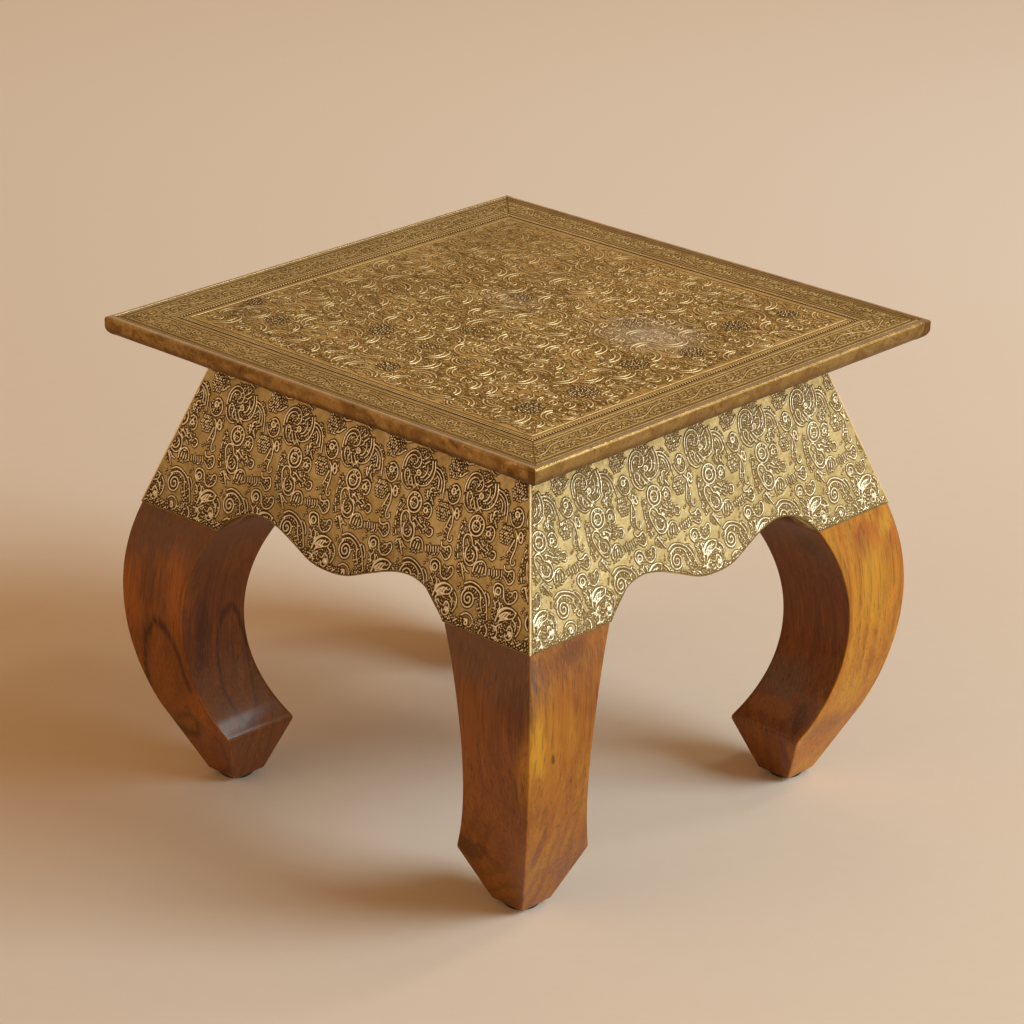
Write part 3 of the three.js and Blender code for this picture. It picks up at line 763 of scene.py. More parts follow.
sheetLook = {
    "columns": 520, "rows": 180, "rise": 0.62, "ground": 0.3, "ridgeRound": 1.0, "ridgeSteps": 4, "hem": 1.2,
    "hemSoot": (0.34, 0.03), "folded": 1.0, "start": 27.0, "patternTop": 373.0, "backHeight": 325.0,
    # where a pinwheel stands on each side, and the length of one repeat there
    "repeats": [(-3.0, 63.3), (6.0, 62.4), (-3.0, 63.3), (6.0, 62.4)],
    "stippleBand": 4.6, "stipplePitch": 1.75, "stippleRow": 0.87, "stippleDot": 0.5,
}


def apronEdgeHeight(along):
    # the scalloped lower edge, by distance from the middle of the side
    knots = [(share * postHalf, table["pendant"] + up * table["archRise"])
             for share, up in table["apronEdge"]]
    knots.append((postHalf, table["brassEdge"]))
    mirrored = [(-x, y) for x, y in reversed(knots[1:])]
    curve = smoothLine(mirrored + knots, 0.5)
    return np.interp(np.abs(along), *zip(*sorted((abs(x), y) for x, y in curve)), right=table["brassEdge"])


def apronFace(pattern, side):
    look = sheetLook
    steps, ridgeRound = look["ridgeSteps"], look["ridgeRound"]
    inner = np.linspace(-1, 1, look["columns"] + 1 - 2 * steps)
    low = np.full(len(inner), table["brassEdge"])
    for _ in range(4):
        # the scallops and the sheet's width at their height settle in a few rounds
        low = apronEdgeHeight(inner * sheetHalfAt(low))
    height = low + np.linspace(0, 1, look["rows"] + 1)[:, None] * (frameTop - low)
    flatHalf = sheetHalfAt(height) - ridgeRound
    # the ridges at both ends are rounded half way over
    bend = np.linspace(0, pi / 4, steps + 1)[1:]
    wings = [(sign * (flatHalf[:, [end]] + ridgeRound * np.sin(bend)), height[:, [end]] + 0 * bend,
              ridgeRound * (1 - np.cos(bend)) + 0 * flatHalf[:, [end]]) for sign, end in ((-1, 0), (1, -1))]
    x, z, away = (np.hstack([first[:, ::-1], between, last])
                  for first, between, last in zip(wings[0], (inner * flatHalf, height, 0 * height), wings[1]))
    fullHalf = sheetHalfAt(z)
    fromRidge = fullHalf - np.abs(x)
    fromHem = z - z[0]
    wobble = 0.22 * np.sin(x * 0.11 + side * 1.7) + 0.2 * np.sin(z * 0.17 + x * 0.05 + side)
    first, repeat = look["repeats"][side]
    across = look["start"] + (x - first) * apronPattern["period"] / repeat + wobble
    down = look["patternTop"] - z + 0.2 * np.sin(x * 0.13 + side)
    near, dense = (distanceAt(pattern, across, down, key) for key in ("near", "dense"))
    # a band of stippling follows the lower edge
    pitch, rowShare = look["stipplePitch"], look["stippleRow"]
    row = np.round(fromHem / pitch / rowShare)
    slip = x / pitch + 0.5 * (row % 2) + 0.11 * np.sin(row * 2.3 + x * 0.9)
    dot = np.hypot((slip - np.round(slip)) * pitch, fromHem - row * rowShare * pitch) - look["stippleDot"]
    ragged = look["stippleBand"] + 1.6 * np.sin(x * 0.21 + side) + 1.1 * np.sin(x * 0.53 + 2 * side)
    inBand = (fromHem < ragged) & (row > 0) & (near > 0.75)
    near = np.where(inBand, np.minimum(near, dot), near)
    dense = np.where(fromHem < ragged, np.maximum(dense, 0.36), dense)
    # the pattern dies out at the ridges and at the hem
    calm = limited((fromRidge - 0.9) / 1.6) * limited(fromHem)
    near = near * calm + 1.6 * (1 - calm)
    waves = 0.12 * np.sin(x * 0.083 + 1) * np.sin(z * 0.09 + side)
    lift = embossed(near, look["rise"]) - look["ground"] + waves
    lift = lift * calm - (1 - calm) * 0.2 - 0.35 * limited(1 - fromHem / look["hem"]) ** 2
    # the ridges are lightened: partly polish, partly a painted highlight
    rub = 0.5 * limited(1 - fromRidge / look["folded"])
    # painted shade: darker just under the slab, and towards the hem, strongly on the front and back sheets
    # and faintly on the right and left
    soot = 0.8 * limited(1 - (frameTop - 1.5 - z) / 9.0)
    soot = np.maximum(soot, look["hemSoot"][side % 2] * limited(1.2 - fromHem / 34) * calm)
    face = np.stack([x, away - fullHalf - lift / leanStretch, z + lift * lean / leanStretch], -1)
    return face, near, dense * calm, rub, soot


def makeApronSheets(brasses):
    pattern = drawApronPattern()
    backHeight = sheetLook["backHeight"]
    drop = np.array([0, table["brass"] / leanStretch, -table["brass"] * lean / leanStretch])
    middle = np.array([0.0, -sheetHalfAt(backHeight), backHeight]) + drop
    for side, name in enumerate(sides):
        face, *values = apronFace(pattern, side)
        sheetPiece(f"embossed_apron_{name}", quarterTurn(face, side), quarterTurn(drop, side),
                   quarterTurn(middle, side), brasses[side % 2], [f"apron_sheet_{name}"], *values)
    print("aprons dressed in embossed brass")


# Top sheets. Each motif gives its lines and its single seeds, round its own middle

def curlLines(size, draw):
    turns = draw.uniform(1.0, 1.6)
    curl = spiralPoints(0, 0, 0.12 * size, 0.5 * size, 0, turns)
    angle = 2 * pi * turns + pi / 2
    tail = curl[-1] + np.outer(np.linspace(0.15, 0.6, 4) * size, [cos(angle), sin(angle)])
    tail = tail + np.outer(np.linspace(0, 0.2, 4) * size, [-cos(angle - pi / 2), -sin(angle - pi / 2)])
    return [np.vstack([curl, tail])], []


def crescentLines(size, draw):
    outer = ringPoints(0, 0, 0.7 * size, 0.9 * size, 0, -72, 144)
    inner = ringPoints(-0.12 * size, 0, 0.52 * size, 0.7 * size, 0, -55, 110)
    seeds = ringPoints(-0.12 * size, 0, 0.26 * size, 0.4 * size, 0, -60, 120)[::2]
    return [outer, inner], seeds


def combLines(size, draw):
    count = int(draw.integers(4, 7))
    lines = []
    for index in range(count):
        offset = (index - (count - 1) / 2) * 2.6
        reach = size * (0.55 - 0.045 * abs(index - (count - 1) / 2))
        lines.append(np.array([(offset - 0.1 * size, -reach), (offset + 0.04 * size, 0),
                               (offset - 0.06 * size, reach)]))
    return lines, []


def leafLines(size, draw):
    loop = np.array([(0, -0.62), (0.3, -0.2), (0.34, 0.18), (0, 0.5), (-0.34, 0.18), (-0.3, -0.2),
                     (-0.08, -0.6)]) * size
    vein = np.array([(0, -0.1), (0.03, 0.25)]) * size
    return [loop, vein], []


def hookLines(size, draw):
    bend = draw.choice([-1, 1])
    points = np.array([(-0.5, 0.1), (-0.2, -0.12), (0.15, -0.1), (0.4, 0.1), (0.36, 0.34),
                       (0.16, 0.36)]) * size
    return [points * (1, bend)], []


def strokeLines(size, draw):
    sag = draw.uniform(-0.18, 0.18)
    return [np.array([(-0.5, 0), (0, sag), (0.5, 0)]) * size], []


def throwMotif(pattern, maker, sizes, room, draw, width, low, high, spacing=0.85):
    # a motif at a random place between two corners, kept where nothing else is near
    size, place, turn = draw.uniform(*sizes), draw.uniform(low, high), draw.uniform(0, 2 * pi)
    spin = np.array([[cos(turn), sin(turn)], [-sin(turn), cos(turn)]])
    lines, seeds = ([np.asarray(part) @ spin + place for part in parts] for parts in maker(size, draw))
    points = np.vstack([*lines, *seeds])
    inside = ((points > low) & (points < high))[:, int(pattern["wraps"]):].all()
    if not inside or distanceAt(pattern, *points.T).min() < room:
        return 0
    for line in lines:
        press(pattern, line, width, 0.3, spacing)
    pressDots(pattern, seeds, 0.6)
    return 1


# Top field: four quarters of one sheet

fieldLook = {
    "cells": 250, "half": 182.5, "rise": 0.6, "seed": 5, "step": 0.3, "frameLine": 4.1, "margin": 5.4,
    # clusters of berries: middle across and up from the middle of the top, and radius
    "clusters": [(-56, -95, 11), (5, -148, 10), (-31, 38, 9), (70, 54, 11), (130, -14, 11.5),
                 (128, 106, 12), (143, 37, 11), (143, -86, 12), (138, -138, 12), (-127, -135, 10),
                 (-171, -118, 9), (138, 157, 9), (-7, -48, 8), (-4, -94, 8)],
    "berryPitch": 2.7, "berryLoose": 0.95, "berryDot": 0.62, "densityRadius": 2.2,
    # motifs in turn: maker, sizes, tries, clear room round it and width of its lines
    "motifs": [(crescentLines, (10, 15), 500, 1.7, 1.4), (curlLines, (9, 13), 700, 1.5, 1.2),
               (leafLines, (8, 12), 700, 1.4, 1.1), (crescentLines, (7, 10), 1200, 1.4, 1.2),
               (hookLines, (6, 10), 2200, 1.3, 1.1), (combLines, (6, 10), 500, 1.4, 1.0),
               (curlLines, (5, 8), 1800, 1.3, 1.0), (strokeLines, (3, 6), 3200, 1.4, 0.95),
               (strokeLines, (1.6, 3), 2600, 1.3, 0.9)],
    "matting": {"pitch": 2.3, "radii": (0.22, 0.42), "room": 1.0, "plain": 0.7, "edgeRows": 4},
    "cuts": {"tries": 9000, "sizes": (3.0, 8.5), "turns": (-0.6, 0.35), "room": 0.6, "apart": 1.5,
             "margin": 8, "width": 1.15, "soot": 0.6},
    # soft places: middle, half sizes, reach, strength and falloff
    "worn": [(96, 42, 46, 37, 1.2, 0.7, 0.8), (-30, 30, 40, 24, 1.0, 0.4, 1.0)],
    "sooty": [(-160, 135, 40, 34, 1.0, 0.25, 1.0), (-165, -140, 30, 24, 1.0, 0.3, 1.0)],
    "fade": 0.5, "berryFade": 0.25,
}
fieldGround = table["height"] - fieldLook["rise"] - 0.03


def drawFieldPattern():
    look = fieldLook
    draw = np.random.default_rng(look["seed"])
    size, edge, margin = 2 * look["half"], look["frameLine"], look["margin"]
    pattern = blankPattern(size, size, look["step"])
    frameLine = [(edge, edge), (size - edge, edge), (size - edge, size - edge), (edge, size - edge)]
    for start, end in zip(frameLine, frameLine[1:] + frameLine[:1]):
        press(pattern, [start, end], 1.0, spacing=8)
    for x, y, radius in look["clusters"]:
        berries = berryPoints(x + look["half"], y + look["half"], radius, look["berryPitch"], draw,
                              look["berryLoose"])
        pressDots(pattern, berries, look["berryDot"])
    for maker, sizes, tries, room, width in look["motifs"]:
        count = sum(throwMotif(pattern, maker, sizes, room, draw, width, (margin, margin),
                               (size - margin, size - margin)) for _ in range(tries))
        print("field motifs:", maker.__name__, count)
    mat = look["matting"]
    rows = range(mat["edgeRows"], int(size / mat["pitch"]) - mat["edgeRows"] + 1)
    for row in rows:
        for column in rows:
            place = (np.array([column + 0.5 * (row % 2), row]) + draw.uniform(-0.3, 0.3, 2)) * mat["pitch"]
            radius = draw.uniform(*mat["radii"])
            x, y = place
            plain = sin(x * 0.071 + 1.3 * sin(y * 0.05)) + sin(y * 0.083 + x * 0.03)
            if plain < mat["plain"] and distanceAt(pattern, place[:1], place[1:])[0] > mat["room"]:
                pressDots(pattern, [place], radius)
    # strokes cut into the ground between the motifs
    cut = look["cuts"]
    cuts = blankPattern(size, size, look["step"])
    for _ in range(cut["tries"]):
        reach, turn = draw.uniform(*cut["sizes"]), draw.uniform(*cut["turns"])
        place = draw.uniform(cut["margin"], size - cut["margin"], 2)
        ends = place + np.outer((-0.5, 0, 0.5), (cos(turn), sin(turn))) * reach
        clear = distanceAt(pattern, *ends.T).min() > cut["room"]
        if clear and distanceAt(cuts, *ends.T).min() > cut["apart"]:
            press(cuts, ends, cut["width"], 0.3, 0.85)
    pattern["cut"] = cuts["near"]
    return measureDensity(pattern, look["densityRadius"])


def softPlaces(x, y, places, base=0.0):
    return sum((strength * limited(reach - np.hypot((x - a) / across, (y - b) / up)) ** falloff
                for a, b, across, up, reach, strength, falloff in places), base)


def makeFieldSheets(brass):
    look = fieldLook
    half = look["half"]
    pattern = drawFieldPattern()
    line = np.linspace(0, half, look["cells"] + 1)
    corner = np.stack([*np.meshgrid(line, line - half), np.zeros((len(line), len(line)))], -1)
    middle = np.array([half / 2, -half / 2, fieldGround - table["brass"]])
    for quarter in range(4):
        # each quarter is the one at the front right, turned, with its own part of the pattern
        face = quarterTurn(corner, quarter)
        x, y = face[..., 0], face[..., 1]
        near, dense, cut = (distanceAt(pattern, x + half, y + half, key) for key in ("near", "dense", "cut"))
        berried = np.any([np.hypot(x - a, y - b) < radius for a, b, radius in look["clusters"]], axis=0)
        near = np.where(berried, np.minimum(near, 0.5), near)
        # the far half is worn softer than the near one
        soft = limited((y - x) / 500, 0.6)
        lift = embossed(near, look["rise"]) * (1 - 0.7 * soft) - 0.22 * limited(0.4 - cut, 0.6) / 0.6
        near = np.where(near > 0.3, np.maximum(0.45, np.minimum(near, 0.55 + cut)), near)
        waves = 0.05 * np.sin(x * 0.06) * np.sin(y * 0.05)
        face[..., 2] = np.minimum(fieldGround + lift + waves, table["height"])
        rub = limited(softPlaces(x, y, look["worn"]))
        # painted shade, darker towards the left and in patches at the left corners; the cut strokes are
        # darkened as well
        soot = softPlaces(x, y, look["sooty"], 0.2 * limited(-x / 180 + 0.1))
        soot = limited(soot + look["cuts"]["soot"] * limited(0.35 - cut, 0.5) / 0.5)
        fade = np.where(berried, look["berryFade"], look["fade"] + 0.3 * soft)
        sheetPiece(f"embossed_field_{quarter + 1}", face, (0, 0, -table["brass"]),
                   quarterTurn(middle, quarter), brass, ["top_field_sheet"], near, dense, rub, soot, fade)
    print("top field dressed in embossed brass")


# Top border: four mitred strips with a running scroll

borderLook = {
    "columns": 620, "rows": 56, "outer": 219.9, "inner": 182.6, "period": 54.0, "step": 0.22,
    # lines along the strip: how far in from the outer edge, and width
    "rules": [(1.9, 0.8), (5.9, 0.8), (27.0, 0.9), (30.3, 0.9)],
    "beads": {"down": 3.9, "pitch": 1.8, "radius": 0.42}, "vine": (16.5, 4.6),
    # the scrolls on the vine: share of the period, place down and way round
    "scrolls": [(0.25, 11.6, 1), (0.75, 20.8, -1)],
    # small motifs in turn: maker, sizes, tries and clear room, all in one band
    "motifs": [(leafLines, (4.5, 6.5), 260, 1.0), (hookLines, (4, 6), 400, 0.95),
               (strokeLines, (2, 4), 900, 0.9)],
    "band": (7.4, 25.6), "motifWidth": 0.95, "densityRadius": 2.0, "ropeBed": 33.2,
    "fade": 0.8, "soot": (0.02, 0.0, 0.04, 0.16),
}


def drawBorderPattern():
    # down is the way in from the outer edge
    look = borderLook
    draw = np.random.default_rng(fieldLook["seed"] + 1)
    period = look["period"]
    pattern = blankPattern(period, look["outer"] - look["inner"], look["step"], wraps=True)
    for down, width in look["rules"]:
        press(pattern, [(0, down), (period, down)], width, spacing=6)
    middle, sway = look["vine"]
    press(pattern, [(x, middle + sway * sin(2 * pi * x / period)) for x in np.linspace(0, period, 25)], 1.0)
    for share, down, way in look["scrolls"]:
        x = share * period
        press(pattern, spiralPoints(x, down, 0.6, 4.4, 90 * way, 1.35 * way), 1.05)
        press(pattern, ringPoints(x - 9, down + way * 0.8, 3.4, 2.1, 30 * way, 0, 250), 1.0)
        press(pattern, ringPoints(x + 9.6, down - way * 0.2, 2.6, 2.0, -25 * way, 0, 230), 1.0)
    bead = look["beads"]
    pressDots(pattern, [(x, bead["down"]) for x in np.arange(bead["pitch"] / 2, period, bead["pitch"])],
              bead["radius"])
    low, high = look["band"]
    for maker, sizes, tries, room in look["motifs"]:
        for _ in range(tries):
            throwMotif(pattern, maker, sizes, room, draw, look["motifWidth"], (0, low), (period, high), 0.8)
    return measureDensity(pattern, look["densityRadius"])


def makeBorderSheets(brass):
    look = borderLook
    pattern = drawBorderPattern()
    outerToInner = np.linspace(look["outer"], look["inner"], look["rows"] + 1)[:, None]
    x = np.linspace(-1, 1, look["columns"] + 1) * outerToInner
    y = -outerToInner + 0 * x
    down = look["outer"] - outerToInner + 0 * x
    toMitre = outerToInner - np.abs(x)
    bed = limited((down - look["ropeBed"]) / 0.4)
    calm = limited((toMitre - 0.1) / 0.9) * limited(down / 0.8)
    middle = np.array([0.0, -(look["outer"] + look["inner"]) / 2, fieldGround - table["brass"]])
    for side, name in enumerate(sides):
        across = x + look["period"] / 2 + 0.3 * np.sin(x * 0.05 + side)
        near, dense = (distanceAt(pattern, across, down, key) for key in ("near", "dense"))
        # plain under the rope line, and dying out at the mitres
        near, dense = near * (1 - bed) + 0.5 * bed, np.maximum(dense, 0.5 * bed)
        near = near * calm + 1.5 * (1 - calm)
        lift = embossed(near, fieldLook["rise"]) - 0.25 * (1 - limited(toMitre / 0.6))
        face = np.stack([x, y, np.minimum(fieldGround + lift, table["height"])], -1)
        rub = 0.5 * limited(1 - down / 1.6)
        # painted shade, strongest on the left strip, and darker mitre joints
        soot = limited(0.5 * limited(1 - toMitre / 1.2) + look["soot"][side])
        sheetPiece(f"embossed_border_{name}", quarterTurn(face, side), (0, 0, -table["brass"]),
                   quarterTurn(middle, side), brass, [f"top_border_{name}"], near, dense, rub, soot,
                   look["fade"])
    print("top border dressed in embossed brass")


# Edge strips: plain brass bent round the slab

stripLook = {"stations": 150, "arcSteps": 9, "setback": 0.3, "waviness": 0.14, "mostWave": 0.2,
             "arrisRub": (0.28, 0.2), "tabWidth": 7.0, "tabThickness": 0.28, "tabInside": 0.02,
             "tabDrop": 0.3, "tabStations": 6, "tabRub": 0.1, "tabSoot": 0.85}


def edgePath(inset):
    # the section of the bent strip: distance out from the middle of the table, and height
    setback, steps = stripLook["setback"], stripLook["arcSteps"]
    half, height, under = table["topHalf"] - setback, table["height"], table["underRound"]
    path = [(half + setback - table["topFlange"], height - inset)]
    for out, up, radius, start in (
            (half - table["arris"], height - table["arris"], table["arris"] - inset, pi / 2),
            (half - under, slabUnder + under, under - inset, 0.0)):
        for step in range(steps + 1):
            angle = start - pi / 2 * step / steps
            path.append((out + radius * cos(angle), up + radius * sin(angle)))
    path.append((half + setback - table["underFlange"], slabUnder + inset))
    return np.array(path)


def bentStripTree(material):
    # sweeps the strip's section along a side, cuts both ends on the mitre and lets the metal wave a little
    look = stripLook
    size = newTree("bent_edge_strip", {"Start": -1.0, "End": 1.0, "Stations": look["stations"],
                                       "Waviness": look["waviness"] * mm, "Phase": 0.0, "Arris Rub And Highlight": 0.3,
                                       "Soot": 0.0})
    section = node("GeometryNodeMeshToCurve", {"Mesh": size["Geometry"]})
    line = node("GeometryNodeCurvePrimitiveLine", {"End": (1.0, 0.0, 0.0)})
    path = node("GeometryNodeResampleCurve", {"Curve": line, "Count": size["Stations"]})
    share = node("GeometryNodeSplineParameter", out="Factor")
    path = keep(path, "along", node("ShaderNodeMapRange", {0: share, 3: size["Start"], 4: size["End"]}))
    swept = node("GeometryNodeCurveToMesh", {"Curve": path, "Profile Curve": section, "Fill Caps": True})
    along, out, up = map(kept, ("along", "out", "up"))
    x = along * out
    slow = maths("SINE", maths("MULTIPLY_ADD", x, 60.0, size["Phase"]))
    quick = maths("SINE", maths("MULTIPLY_ADD", x, 170.0, size["Phase"] * 2.1))
    wave = maths("MULTIPLY_ADD", quick, 0.6, slow) * size["Waviness"]
    ends = 1.0 - maths("POWER", maths("ABSOLUTE", along), 8.0)
    wave = maths("MINIMUM", wave * ends, look["mostWave"] * mm)
    below = table["height"] * mm - up
    wave = wave * spread(below, 0.0, 4 * mm)
    place = together(x, (out + wave) * -1.0, up)
    bent = node("GeometryNodeSetPosition", {"Geometry": swept, "Position": place})
    cornerCount = node("GeometryNodeInputMeshFaceNeighbors", out="Vertex Count")
    smooth = node("FunctionNodeCompare", {2: cornerCount, 3: 4}, data_type="INT", operation="EQUAL")
    bent = node("GeometryNodeSetShadeSmooth", {0: bent, "Shade Smooth": smooth})
    # the arris is lightened and made smoother: partly polish, partly a painted highlight, a little stronger
    # on the front and back strips
    rub = spread(below, 1.0 * mm, 0.2 * mm) * size["Arris Rub And Highlight"]
    # painted shade, darker towards the underside of the strip; the folded tabs are darkened all over
    low = spread(up, (slabUnder + 8.5) * mm, (slabUnder + 1.0) * mm, 0.0, 0.8)
    bent = keep(keep(bent, "rub", rub), "soot", maths("MAXIMUM", low, size["Soot"]))
    return endTree(bent, material)


def makeEdgeStrips(brasses):
    look = stripLook
    trees = [bentStripTree(brass) for brass in brasses]
    tab = {"Start": 1 - look["tabWidth"] / table["topHalf"], "Stations": look["tabStations"], "Waviness": 0.0,
           "Arris Rub And Highlight": look["tabRub"], "Soot": look["tabSoot"]}
    for side, name in enumerate(sides):
        strip = {"Stations": look["stations"], "Arris Rub And Highlight": look["arrisRub"][side % 2],
                 "Phase": 1.3 + 1.9 * side}
        # the strip, then the short tab of the next strip folded over its end
        for kind, skins, sizes in (("plain_edge", (0.0, table["brass"]), strip),
                                   ("folded_tab", (-look["tabThickness"], -look["tabInside"]), tab)):
            outerSkin, innerSkin = map(edgePath, skins)
            if kind == "folded_tab":
                wrapped = outerSkin[:, 1] < table["height"] - look["tabDrop"]
                outerSkin, innerSkin = outerSkin[wrapped], innerSkin[wrapped]
            section = np.vstack([outerSkin, innerSkin[::-1]])
            loop = [(k, (k + 1) % len(section)) for k in range(len(section))]
            piece = grow(f"{kind}_{name}", trees[side % 2], sizes, np.insert(section, 2, 0, axis=1), loop,
                         {"out": section[:, 0] * mm, "up": section[:, 1] * mm})
            piece.data.transform(Matrix.Rotation(side * pi / 2, 4, "Z"))
            finishPiece(piece, brasses[side % 2], [f"edge_strip_{name}"])
    print("edge strips bent round the slab")


# Rope line along the top's border

ropeLook = {"half": 184.5, "beads": 134, "sizes": {"Long": 1.7, "Wide": 0.66, "Tall": 0.58}, "slant": 52.0,
            "sunk": 0.05}


def ropeTree(material, sizes):
    size = newTree("rope_line", sizes)
    square = node("GeometryNodeCurvePrimitiveQuadrilateral", {"Width": size["Side"], "Height": size["Side"]})
    path = node("GeometryNodeResampleCurve", {"Curve": square, "Count": size["Beads"]})
    ball = node("GeometryNodeMeshUVSphere", {"Segments": 7, "Rings": 4, "Radius": 1.0})
    level = node("ShaderNodeSeparateXYZ", {0: node("GeometryNodeInputPosition")}, out="Z")
    ball = keep(keep(ball, "near", spread(level, 0.15, 0.75, 0.6, -0.35)), "dense", 0.4)
    bead = node("GeometryNodeTransform", {
        "Geometry": ball, "Scale": together(size["Long"], size["Wide"], size["Tall"]),
        "Rotation": together(z=size["Slant"])})
    bead = node("GeometryNodeSetShadeSmooth", {0: bead})
    facing = node("FunctionNodeAlignRotationToVector", {"Vector": node("GeometryNodeInputTangent")}, axis="X")
    beads = node("GeometryNodeInstanceOnPoints", {"Points": path, "Instance": bead, "Rotation": facing})
    return endTree(lifted(beads, size["Height"]), material)


def makeRope(brass):
    look = ropeLook
    ground = table["height"] - look["sizes"]["Tall"] - look["sunk"]
    sizes = {"Side": 2 * look["half"] * mm, "Beads": 4 * look["beads"], "Height": ground * mm,
             **{label: number * mm for label, number in look["sizes"].items()},
             "Slant": radians(look["slant"])}
    piece = grow("rope_line", ropeTree(brass, sizes), sizes, [(0, 0, 0)])
    finishPiece(piece, brass, [f"top_border_{name}" for name in sides])
    print("rope line beaded")


# Ridge folds where two apron sheets meet

foldLook = {"radius": 0.62, "stations": 60, "corners": 10, "sunk": 0.25, "lowEnd": 0.4, "highEnd": 0.8}


def makeRidgeFolds(brass):
    look = foldLook
    sizes = {"Stations": look["stations"], "Radius": look["radius"] * mm}
    size = newTree("ridge_fold", sizes)
    line = node("GeometryNodeMeshToCurve", {"Mesh": size["Geometry"]})
    path = node("GeometryNodeResampleCurve", {"Curve": line, "Count": size["Stations"]})
    ring = node("GeometryNodeCurvePrimitiveCircle", {"Resolution": look["corners"], "Radius": size["Radius"]})
    fold = node("GeometryNodeCurveToMesh", {"Curve": path, "Profile Curve": ring, "Fill Caps": True})
    fold = node("GeometryNodeSetShadeSmooth", {0: fold})
    for key, value in (("near", 1.3), ("dense", 0.0), ("rub", 1.0), ("soot", 0.0)):
        fold = keep(fold, key, value)
    tree = endTree(fold, brass)
    places = []
    for corner in range(4):
        for z in (table["brassEdge"] + look["lowEnd"], frameTop - look["highEnd"]):
            half = sheetHalfAt(z) - look["sunk"] - look["radius"] * 0.7
            places.append(quarterTurn(np.array([half, -half, z]), corner))
    piece = grow("ridge_folds", tree, sizes, places, [(2 * k, 2 * k + 1) for k in range(4)])
    finishPiece(piece, brass, [f"apron_sheet_{name}" for name in sides])
    print("ridges folded")


# Countersunk screws in the cleats

screwLook = {
    "sizes": {"Head Radius": 4.0, "Rim": 0.5, "Head Depth": 2.6, "Shank Radius": 1.75, "Point": 3.0,
              "Pitch": 1.6, "Thread": 0.28, "Slot Width": 0.9, "Slot Reach": 4.6, "Slot Depth": 1.6},
    "sides": 24, "coilSteps": 12, "grip": 9.5, "topOffset": 72, "apronOffset": 42,
}


def screwTree(material, sizes):
    size = newTree("countersunk_screw", sizes)

    def turnedBand(low, high, lowRadius, highRadius):
        band = node("GeometryNodeMeshCone", {"Vertices": size["Sides"], "Radius Top": highRadius,
                                             "Radius Bottom": lowRadius, "Depth": high - low},
                    out="Mesh", fill_type="NONE")
        return lifted(band, low)

    tail, head, shank = size["Length"] - size["Point"], size["Head Radius"], size["Shank Radius"]
    disc = node("GeometryNodeMeshCircle", {"Vertices": size["Sides"], "Radius": head}, fill_type="NGON")
    shell = [node("GeometryNodeFlipFaces", {0: disc}), turnedBand(0.0, size["Rim"], head, head),
             turnedBand(size["Rim"], size["Head Depth"], head, shank),
             turnedBand(size["Head Depth"], tail, shank, shank), turnedBand(tail, size["Length"], shank, 0.0)]
    shell = node("GeometryNodeMergeByDistance", {"Geometry": node("GeometryNodeJoinGeometry", {0: shell}),
                                                 "Distance": 1e-05})
    # a cross cut into the head
    bars = []
    for across, up in (("Slot Reach", "Slot Width"), ("Slot Width", "Slot Reach")):
        box = together(size[across], size[up], size["Slot Depth"] * 2.0)
        bars.append(node("GeometryNodeMeshCube", {"Size": box}, out="Mesh"))
    cut = node("GeometryNodeMeshBoolean", {"Mesh 1": shell, "Mesh 2": bars}, operation="DIFFERENCE",
               solver="EXACT")
    run = tail - size["Head Depth"]
    coil = node("GeometryNodeCurveSpiral", {
        "Resolution": screwLook["coilSteps"], "Rotations": run / size["Pitch"], "Start Radius": shank,
        "End Radius": shank, "Height": run})
    ring = node("GeometryNodeCurvePrimitiveCircle", {"Resolution": 3, "Radius": size["Thread"]})
    thread = node("GeometryNodeCurveToMesh", {"Curve": coil, "Profile Curve": ring, "Fill Caps": True})
    thread = lifted(thread, size["Head Depth"])
    screw = node("GeometryNodeSetShadeSmooth", {0: node("GeometryNodeJoinGeometry", {0: [cut, thread]}),
                                                "Shade Smooth": False})
    facing = node("FunctionNodeAlignRotationToVector", {"Vector": kept("aim", "FLOAT_VECTOR")}, axis="Z")
    screws = node("GeometryNodeInstanceOnPoints", {"Points": size["Geometry"], "Instance": screw,
                                                   "Rotation": facing})
    return endTree(screws, material)


def makeScrews(steel):
    look = screwLook
    sizes = {"Length": 0.03, **{label: number * mm for label, number in look["sizes"].items()},
             "Sides": look["sides"]}
    tree = screwTree(steel, sizes)
    middle = frameTop - table["cleatTall"] / 2

    def apronInside(z):
        return -hipHalf + lean * (z - table["brassEdge"]) + table["apronThick"] * leanStretch

    cleatHeel = apronInside(frameTop) + table["gap"] * leanStretch + table["cleatWide"]
    for kind, place, aim, length, offset in (
            ("top_screw", (cleatHeel - table["cleatWide"] / 2, frameTop - table["cleatTall"]), (0, 0, 1),
             table["cleatTall"] + table["gap"] + look["grip"], look["topOffset"]),
            ("apron_screw", (cleatHeel, middle), (0, -1, 0), cleatHeel - apronInside(middle) + look["grip"],
             look["apronOffset"])):
        places, aims, names = [], [], []
        for side, name in enumerate(sides):
            for end, sign in (("left", -1), ("right", 1)):
                places.append(quarterTurn(np.array([sign * offset, *place]), side))
                aims.append(quarterTurn(np.array(aim, float), side))
                names.append(f"{kind}_{end}_{name}")
        piece = grow(f"{kind}s", tree, {**sizes, "Length": float(length * mm)}, places, (),
                     {"aim": np.array(aims)})
        finishPiece(piece, steel, names)
    print("screws set")


# Legs

